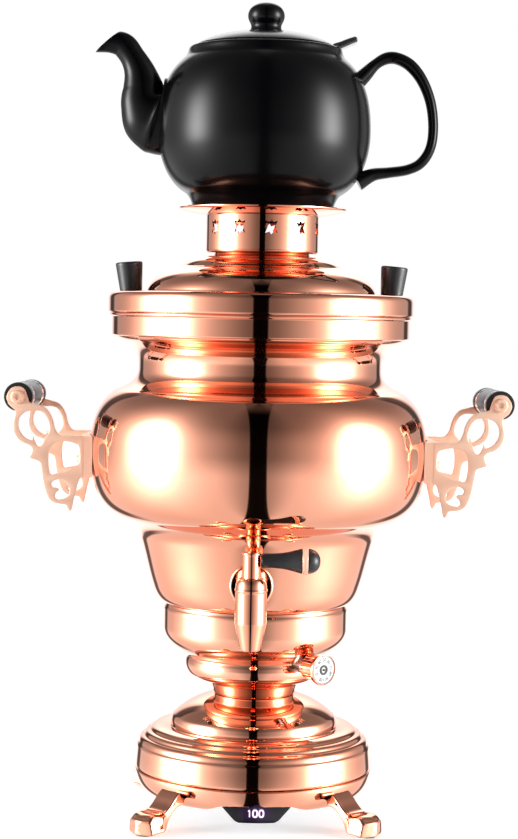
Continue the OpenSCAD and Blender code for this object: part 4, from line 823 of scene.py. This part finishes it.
def make_screws(side):
    """Cap screws at the ends of the grip's rod, with hexagon sockets, and the domed screw of the bracket. A cap
    is a stack of rings: its back, the eased outline, the socket's rim and floor, and the floor's middle."""
    around = 48
    a = whole_turn(around)
    socket = 1.9 * math.cos(math.pi / 6) / np.cos((a + math.pi / 6) % (math.pi / 3) - math.pi / 6)
    line = trace((3.9, 32.3), (4.6, 32.35), (4.5, 33.2), ((4.2, 34.2), (3.6, 34.3), (2.6, 34.3)))
    line = ease(line, 0.25, 0.12)
    r = np.vstack([0 * a, line[:, :1] + 0 * a, socket, socket, 0 * a])
    z = np.concatenate([[32.3], line[:, 1], [34.3, 33.2, 33.2]])[:, None]
    cap = polar(r, a, z).reshape(-1, 3), grid_faces(len(z), around, False, True)
    dome = turned((0, 3.4), (4.0, 3.4), (3.8, 4.6), (2.9, 4.8), (2.9, 6.4), ((2.9, 8.2), (1.6, 9.4), (0, 9.4)),
                  step=0.3, blend=0.15, around=around)
    return to_side(*joined(*(on_axis(cap, (GRIP_X, 0, GRIP_Z), (0, end, 0)) for end in (-1, 1)),
                           on_axis(dome, (BRACKET_X, 0, BRACKET_Z - 3.5), (1, 0, 0))), side)


for name, side in (("left", -1), ("right", 1)):
    for place, y in (("front", -SCROLL_Y), ("rear", SCROLL_Y)):
        piece(f"{place}_scroll_{name}", *make_scroll(y, side), CAST_COPPER, f"plate_{place}_{name}", sharp=35)
    piece("saddle_" + name, *make_bracket(side), CAST_COPPER, "bracket_" + name, sharp=25)
    grip = handle_part(side, (2.6, 0), (2.6, 23.2), (7.8, 23.2), (7.8, 16.6), (8.8, 16.0),
                       ((9.3, 10), (9.3, 4), (9.3, 0)), blend=0.2)
    piece("hand_grip_" + name, *grip, PLASTIC, "grip_" + name)
    collars = handle_part(side, (2.6, 23.25), (9.0, 23.25), (9.45, 23.8), (9.45, 29.4), (9.2, 29.7),
                          (2.6, 29.7), (2.6, 23.25), blend=0.2)
    piece("end_collar_" + name, *collars, PLASTIC, "grip_collars_" + name)
    rings = handle_part(
        side, (7.85, 21.15), (8.8, 21.15), (9.1, 21.5), (9.1, 22.5), (8.8, 22.85), (7.85, 22.85), (7.85, 18.95),
        (8.8, 18.95), (9.1, 18.6), (9.1, 17.6), (8.8, 17.25), (7.85, 17.25), step=0.3, blend=0.1)
    piece("bright_ring_" + name, *rings, CHROME, "grip_rings_" + name)
    piece("screw_heads_" + name, *make_screws(side), CAST_COPPER, "handle_screws_" + name)


# ---- lid and crown ----

def make_lid():
    """Spun lid: rim, flat ring, two stepped domes, the crown's seat, and the ring that drops into the mouth."""
    top = sheet(
        (96.7, 330.55), (100.6, 330.55), (100.6, 339.6), ((100.6, 342.8), (98.6, LID_Z), (95.6, LID_Z)),
        (75.8, LID_Z), ((74.0, 352.4), (64.8, 359.2), (52.8, 361.0)),
        ((49.8, 365.2), (45.8, 367.8), (35.5, 368.4)), (31.5, 368.8), (31.5, CROWN_Z), (30.0, CROWN_Z))
    ring = turned((94.15, 322.5), (95.35, 322.5), (95.35, 343.4), (94.15, 343.4), (94.15, 322.5),
                  step=0.9, blend=0.2, around=128)
    return joined(top, ring)


def make_lid_knob(side):
    """Tapered knob of the lid, leaning out."""
    knob = turned((0, 0), (7.0, 0), (7.3, 0.8), (8.85, 18.0), ((8.9, 19.1), (8.5, 19.6), (7.3, 19.6)),
                  (0, 19.75), blend=0.25, around=72)
    lean = math.radians(5.0)
    return on_axis(knob, (side * 86.0, 0, 344.0), (side * math.sin(lean), 0, math.cos(lean)))


def make_crown_wall(inner, outer, low, high):
    """Crown wall pierced by stars. The wall is cut into one cell per star. In each cell the point at angle u
    round the star's centre and share s from the star to the cell's edge is star(u)(1-s) + edge(u)s, on the
    wall's radius. star(u) is the nearest place where the ray at u crosses a side of the star's outline."""
    def cross(p, q):
        return p[..., 0] * q[..., 1] - p[..., 1] * q[..., 0]

    half_star = np.array([[0, 1], [.34, .62], [1, .8], [.62, 0], [1, -.8], [.34, -.62]]) * [4.0, 5.0]
    star = np.vstack([half_star, 0 - half_star, half_star[:1]])
    radius = (inner + outer) / 2
    half_x, middle = math.pi * radius / STARS, low + 0.55 * 26.4
    corners = np.arctan2(*np.meshgrid([high - middle, low - middle], [half_x, -half_x])).ravel()
    tips = np.arctan2(star[:-1, 1], star[:-1, 0])
    u = np.unique(np.concatenate([np.linspace(-np.pi, np.pi, 121)[:-1], tips, corners]))
    ray = np.column_stack([np.cos(u), np.sin(u)])
    side_x = half_x / np.maximum(np.abs(ray[:, 0]), 1e-9)
    side_z = np.where(ray[:, 1] > 0, high - middle, middle - low) / np.maximum(np.abs(ray[:, 1]), 1e-9)
    edge = ray * np.minimum(side_x, side_z)[:, None]
    a, b = star[:-1], star[1:]
    slant = cross(ray[:, None], (b - a)[None])
    reach = cross(a, b - a)[None] / np.where(np.abs(slant) < 1e-9, 1e-9, slant)
    share = np.sum((reach[..., None] * ray[:, None] - a) * (b - a), -1) / np.sum((b - a) ** 2, -1)
    reach = np.where((reach > 0) & (share > -1e-6) & (share < 1 + 1e-6), reach, np.inf).min(1)
    s = np.linspace(0, 1, 9)[:, None, None] ** 0.8
    flat = ray * reach[:, None] * (1 - s) + edge * s
    z = middle + flat[..., 1]
    parts = []
    for k in range(STARS):
        angle = math.radians(-81 + 360 * k / STARS) + flat[..., 0] / radius
        points = np.concatenate([polar(inner, angle, z)[::-1], polar(outer, angle, z)])
        parts.append((points.reshape(-1, 3), grid_faces(len(points), len(u), False, True)[:, ::-1]))
    return joined(*parts)


def make_crown():
    """Crown: foot flange and spigot, pierced wall, and the dish that holds the teapot."""
    foot = turned((28.6, 363.4), (29.6, 363.4), (29.6, CROWN_Z), (35.8, CROWN_Z), (37.0, 371.4), (37.0, 372.4),
                  (36.0, 372.4), (36.0, 371.4), (28.6, 371.4), (28.6, 363.4), step=0.4, blend=0.2, around=144)
    dish = turned((36.0, 394.8), (37.0, 394.8), (37.2, 395.5), (38.6, 395.6),
                  ((44.0, 396.2), (48.3, 397.0), (54.5, 398.7)), (55.2, 399.3), (55.2, 400.1), (54.4, 400.5),
                  ((48.3, 398.9), (44.0, 397.7), (38.0, 396.85)), (36.6, 396.3), (36.0, 395.4), (36.0, 394.8),
                  step=0.4, blend=0.15, around=144)
    return joined(foot, make_crown_wall(36.0, 37.0, 372.35, 394.85), dish)


piece("lid_sheet", *make_lid(), COPPER, "lid", body="lid")
for name, side in (("left", -1), ("right", 1)):
    piece("lid_grip_" + name, *make_lid_knob(side), PLASTIC, "lid_knob_" + name, body="lid")
piece("crown_sheet", *make_crown(), COPPER, "crown", body="crown")


# ---- teapot ----

MOUTH_AXIS = np.array([-0.653, 0, 0.757])


def cut_off(strings):
    """The tube's strings cut by the slanted plane of the mouth, moved back a little. The distance of a
    point p in front of the plane is (p - p0) . n; each string ends where it first becomes positive, and
    is divided anew."""
    ahead = (strings - [-97.1, 0, 513.56]) @ MOUTH_AXIS + 0.45
    first = np.argmax(ahead > 0, 0)
    each = np.arange(strings.shape[1])
    before, after = ahead[first - 1, each], ahead[first, each]
    end = first - 1 + before / (before - after)
    at = np.linspace(0, 1, len(strings))[:, None] * end[None, :]
    low = np.minimum(at.astype(int), len(strings) - 2)
    share = (at - low)[..., None]
    return strings[low, each] * (1 - share) + strings[low + 1, each] * share


def make_pot():
    """Teapot: a turned body with a foot ring and open mouth, and a spout and handle swept along their lines. A
    stop of the spout is its place in the XZ plane, its half-thickness and its half-width."""
    outside = ease(trace(
        (0, 401.2), (43.5, 401.2), (44.6, 399.3), (45.6, 399.2), (46.2, 399.9),
        ((46.8, 403.0), (48.6, 407.6), (51.0, 409.4)), ((62.0, 415.0), (69.9, 431.0), (70, 450.2)),
        ((70, 472.2), (65.5, 487.5), (52.8, 497.9)), ((51.0, 500.0), (50.8, 501.6), (50.5, 503.0)),
        ((50.2, 504.8), (49.2, 505.3), (47.6, 504.9)), (46.6, RIM_Z)), 1.0, 0.4)
    inside = ease(trace((46.6, RIM_Z), (38.0, RIM_Z), (38.0, 499.4), ((58, 486), (66, 470), (66, 450)),
                        ((66, 430), (58, 414), (42.5, 408.2)), (0, 408.2)), 2.0, 0.8)
    body = spun(np.vstack([outside, inside[1:]]), 144, False)
    stops = smooth_through([
        [-61, 59.9, 25.4, 17], [-69.5, 60.2, 25, 16], [-75, 62.8, 21.6, 14.4], [-79.2, 70, 16, 12.6],
        [-80.4, 80, 13.2, 11], [-83, 90, 10.2, 9.2], [-87.4, 98.6, 8.4, 7.9], [-93.3, 106, 8.4, 6.9],
        [-101.1, 108.2, 7.4, 6.2], [-110, 109, 7.8, 6], [-117, 109, 8, 6]], 12)
    stops[:, 1] += POT_Z
    bead = 0.8 * np.exp(-((stops[:, 0] + 71.5) / 1.1) ** 2)
    skin = 2.4 - 1.0 * np.clip((-80 - stops[:, 0]) / 20, 0, 1)
    outer, inner = (cut_off(tube(stops[:, :2], stops[:, 2] + more, stops[:, 3] + more, 48))
                    for more in (bead, -skin))
    lip = (outer[-1:] + inner[-1:]) / 2 + 0.45 * MOUTH_AXIS
    spout = pinched(np.concatenate([outer, lip, inner[::-1][:60]]))
    line = smooth_through([
        [60, 84.4, 1.5, 1.6], [65.6, 90, 1.3, 1.3], [72.4, 96.8, 1, 1], [79.6, 100.8, 1.1, 1],
        [87, 100.6, 1.1, 1], [95.6, 95.9, 1.1, 1], [103.4, 86, 1, 1], [109, 72, 0.93, 1], [111, 56, 0.9, 1],
        [109.4, 42.6, 0.9, 1], [103.6, 33, 0.95, 1], [94.6, 28.2, 0.95, 1], [81.6, 26, 1, 1],
        [71.6, 24.4, 1.2, 1.2], [62, 19.4, 1.6, 1.6]], 8)
    line[:, 1] += POT_Z
    handle = pinched(tube(line[:, :2], line[:, 2] * 3.7, line[:, 3] * 5.2, 32))
    return joined(body, spout, handle)


def make_pot_lid():
    """Lid of the teapot: low dome, round knob on a short neck, and the collar that drops into the strainer."""
    z = POT_LID_Z
    return turned(
        (0, z + 3), (28, z + 3), (28, z - 7), (30, z - 7), (30, z + 3), (33.4, z + 3), (33.4, z), (45.5, z),
        (46.0, z + 0.8), ((42.5, z + 3.6), (31.0, z + 9.2), (10.9, z + 10.8)),
        ((10.3, z + 12.6), (8.9, z + 13.2), (10.9, z + 16.7)),
        ((13.4, z + 20.8), (11.8, z + 25.8), (7.7, z + 28.0)), ((5.4, z + 29.4), (3, z + 29.4), (0, z + 29.4)),
        step=0.6, blend=0.4, around=144)


def make_tab():
    """Moulded cover of the strainer's thumb tab. Along it the section is the rounded box
    |y/w|^4 + |z/h|^4 = 1, and both ends close along a quarter circle."""
    line = smooth_through([[43.5, 506.4, 2.0, 6.4], [48.5, 507.5, 2.2, 7.2], [54, 509.7, 2.2, 7.3],
                           [58.2, 511.3, 1.9, 7.2], [59.9, 511.9, 1.2, 6.6]], 10)
    ends = np.minimum(np.arange(len(line)), np.arange(len(line))[::-1]) / 6
    shut = np.sqrt(1 - (1 - np.clip(ends, 0, 1)) ** 2)[:, None]
    ring = tube(line[:, :2], np.ones(len(line)), np.ones(len(line)), 40)
    center = np.stack([line[:, 0], 0 * line[:, 0], line[:, 1]], -1)[:, None, :]
    a = whole_turn(40)
    square = 1 / (np.abs(np.cos(a)) ** 4 + np.abs(np.sin(a)) ** 4) ** 0.25
    points = center + (ring - center) * line[:, None, [2, 3, 2]] * (square * shut)[..., None]
    return points.reshape(-1, 3), grid_faces(len(points), 40, False, True)


piece("pot_shell", *make_pot(), GLAZE, "teapot", sharp=60, body="teapot")
piece("pot_cover", *make_pot_lid(), GLAZE, "teapot_lid", body="teapot_lid")
piece("thumb_tab", *make_tab(), PLASTIC, body="strainer")


# ---- CAD nodes that stay as they are ----

for finish, names in (
        (STEEL, ["bottom_plate", "foot_screws", "gland_nut", "stem_tube", "stem_nuts", "heating_element",
                 "thermostat", "thermostat_nut", "thermal_cutout", "knob_shaft", "grip_rod_left",
                 "grip_rod_right", "lid_screws", "strainer"]),
        (BRASS, ["element_nuts", "tap_nut", "board_posts"]),
        (RUBBER, ["foot_pads", "tap_gasket"]),
        (PLASTIC, ["cord_gland"]),
        (BOARD, ["control_board"])):
    for name in names:
        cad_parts[name].data.materials.clear()
        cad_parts[name].data.materials.append(finish)


# ---- floor, light and camera ----

def make_floor():
    """Wide pale floor. It looks white to the camera and keeps the soft shadow. Mirror reflections pass through
    it, because the tent's lamps go on below it."""
    mesh = bpy.data.meshes.new("floor")
    mesh.from_pydata([(-4, -4, 0), (4, -4, 0), (4, 4, 0), (-4, 4, 0)], [], [(0, 1, 2, 3)])
    material, tree, bsdf, _ = new_material(
        "Pale floor", Base__Color=(0.86, 0.86, 0.86, 1), Roughness=0.9, Specular__IOR__Level=0.0,
        Emission__Color=(1, 1, 1, 1))
    ray = tree.nodes.new("ShaderNodeLightPath")
    tree.links.new(math_node(tree, "MULTIPLY", ray.outputs["Is Camera Ray"], 0.42),
                   bsdf.inputs["Emission Strength"])
    tree.links.new(math_node(tree, "SUBTRACT", 1.0, ray.outputs["Is Glossy Ray"]), bsdf.inputs["Alpha"])
    mesh.materials.append(material)
    floor = add_object("floor", mesh)


def bell(tree, value, middle, width):
    """A bell curve: exp of minus the square of (value - middle) / width."""
    off = math_node(tree, "DIVIDE", math_node(tree, "SUBTRACT", value, middle), width)
    return math_node(tree, "EXPONENT", product(tree, off, off, -1.0))


def make_studio():
    """Light tent. Its level depends on the direction's turn from the camera and on its rise, both in
    degrees: a broad and a narrow soft lamp at either side, a dim back wall with a dark and a bright
    edge, a light high at the back, and a dark gap in front where the camera looks in. The camera itself
    sees plain white."""
    world = bpy.data.worlds.new("studio")
    bpy.context.scene.world = world
    world.use_nodes = True
    tree = world.node_tree
    back = tree.nodes["Background"]
    x, y, z = node(tree, "ShaderNodeSeparateXYZ",
                   Vector=tree.nodes.new("ShaderNodeTexCoord").outputs["Generated"]).outputs
    wide = math_node(tree, "ABSOLUTE", x)
    turn = math_node(tree, "DEGREES", math_node(tree, "ARCTAN2", wide, product(tree, y, -1.0)))
    rise = math_node(tree, "DEGREES", math_node(tree, "ARCSINE", z))
    broad = product(tree, bell(tree, turn, 78, 30), bell(tree, rise, 0, 35))
    core = product(tree, bell(tree, turn, 76, 13), bell(tree, rise, 3, 17),
                   between(tree, rise, -14, -6, 0.35, 1))
    rear = product(tree, between(tree, turn, 112, 138), bell(tree, rise, 0, 45))
    bright_edge = between(tree, turn, 157, 163)
    far = product(tree, between(tree, turn, 140, 170), bell(tree, rise, 32, 16))
    level = product(tree, between(tree, rise, -16, 0, 0.95, 0.38), between(tree, rise, 8, 36, 1, 0.5))
    for light, strength in ((broad, 2.6), (core, 24.0), (rear, 0.10), (bright_edge, 0.5), (far, 2.0)):
        level = math_node(tree, "MULTIPLY_ADD", light, strength, level)
    dark_edge = product(tree, between(tree, turn, 142, 147), between(tree, turn, 154, 159, 1, 0),
                        between(tree, math_node(tree, "ABSOLUTE", rise), 30, 45, 1, 0))
    gap = product(tree, between(tree, wide, 0.094, 0.106, 1, 0), between(tree, y, 0.1, 0.25, 1, 0),
                  between(tree, rise, 58, 80, 1, 0.4))
    for shade, share in ((dark_edge, 0.85), (gap, 0.99)):
        level = product(tree, level, math_node(tree, "MULTIPLY_ADD", shade, -share, 1.0))
    level = product(tree, level, between(tree, turn, 4, 30, 0.45, 1))
    ray = tree.nodes.new("ShaderNodeLightPath")
    mix = node(tree, "ShaderNodeMix", {"data_type": "FLOAT"}, _0=ray.outputs["Is Camera Ray"], _2=level, _3=1.0)
    back.inputs["Color"].default_value = (1, 1, 1, 1)
    tree.links.new(mix.outputs[0], back.inputs["Strength"])


def make_camera():
    """Camera 1.37 m in front of the axis, looking 3.03 degrees down and leaning 1.06 degrees."""
    data = bpy.data.cameras.new("camera")
    data.sensor_fit, data.sensor_height, data.lens = "VERTICAL", 36.0, 88.8
    camera = add_object("camera", data)
    down, lean = math.radians(90 - 3.03), math.radians(1.06)
    camera.matrix_world = (Matrix.Translation((0, -1.370, 0.3334)) @ Matrix.Rotation(down, 4, "X")
                           @ Matrix.Rotation(lean, 4, "Z"))
    bpy.context.scene.camera = camera


make_floor()
make_studio()
make_camera()
bpy.context.scene.view_settings.view_transform = "Standard"
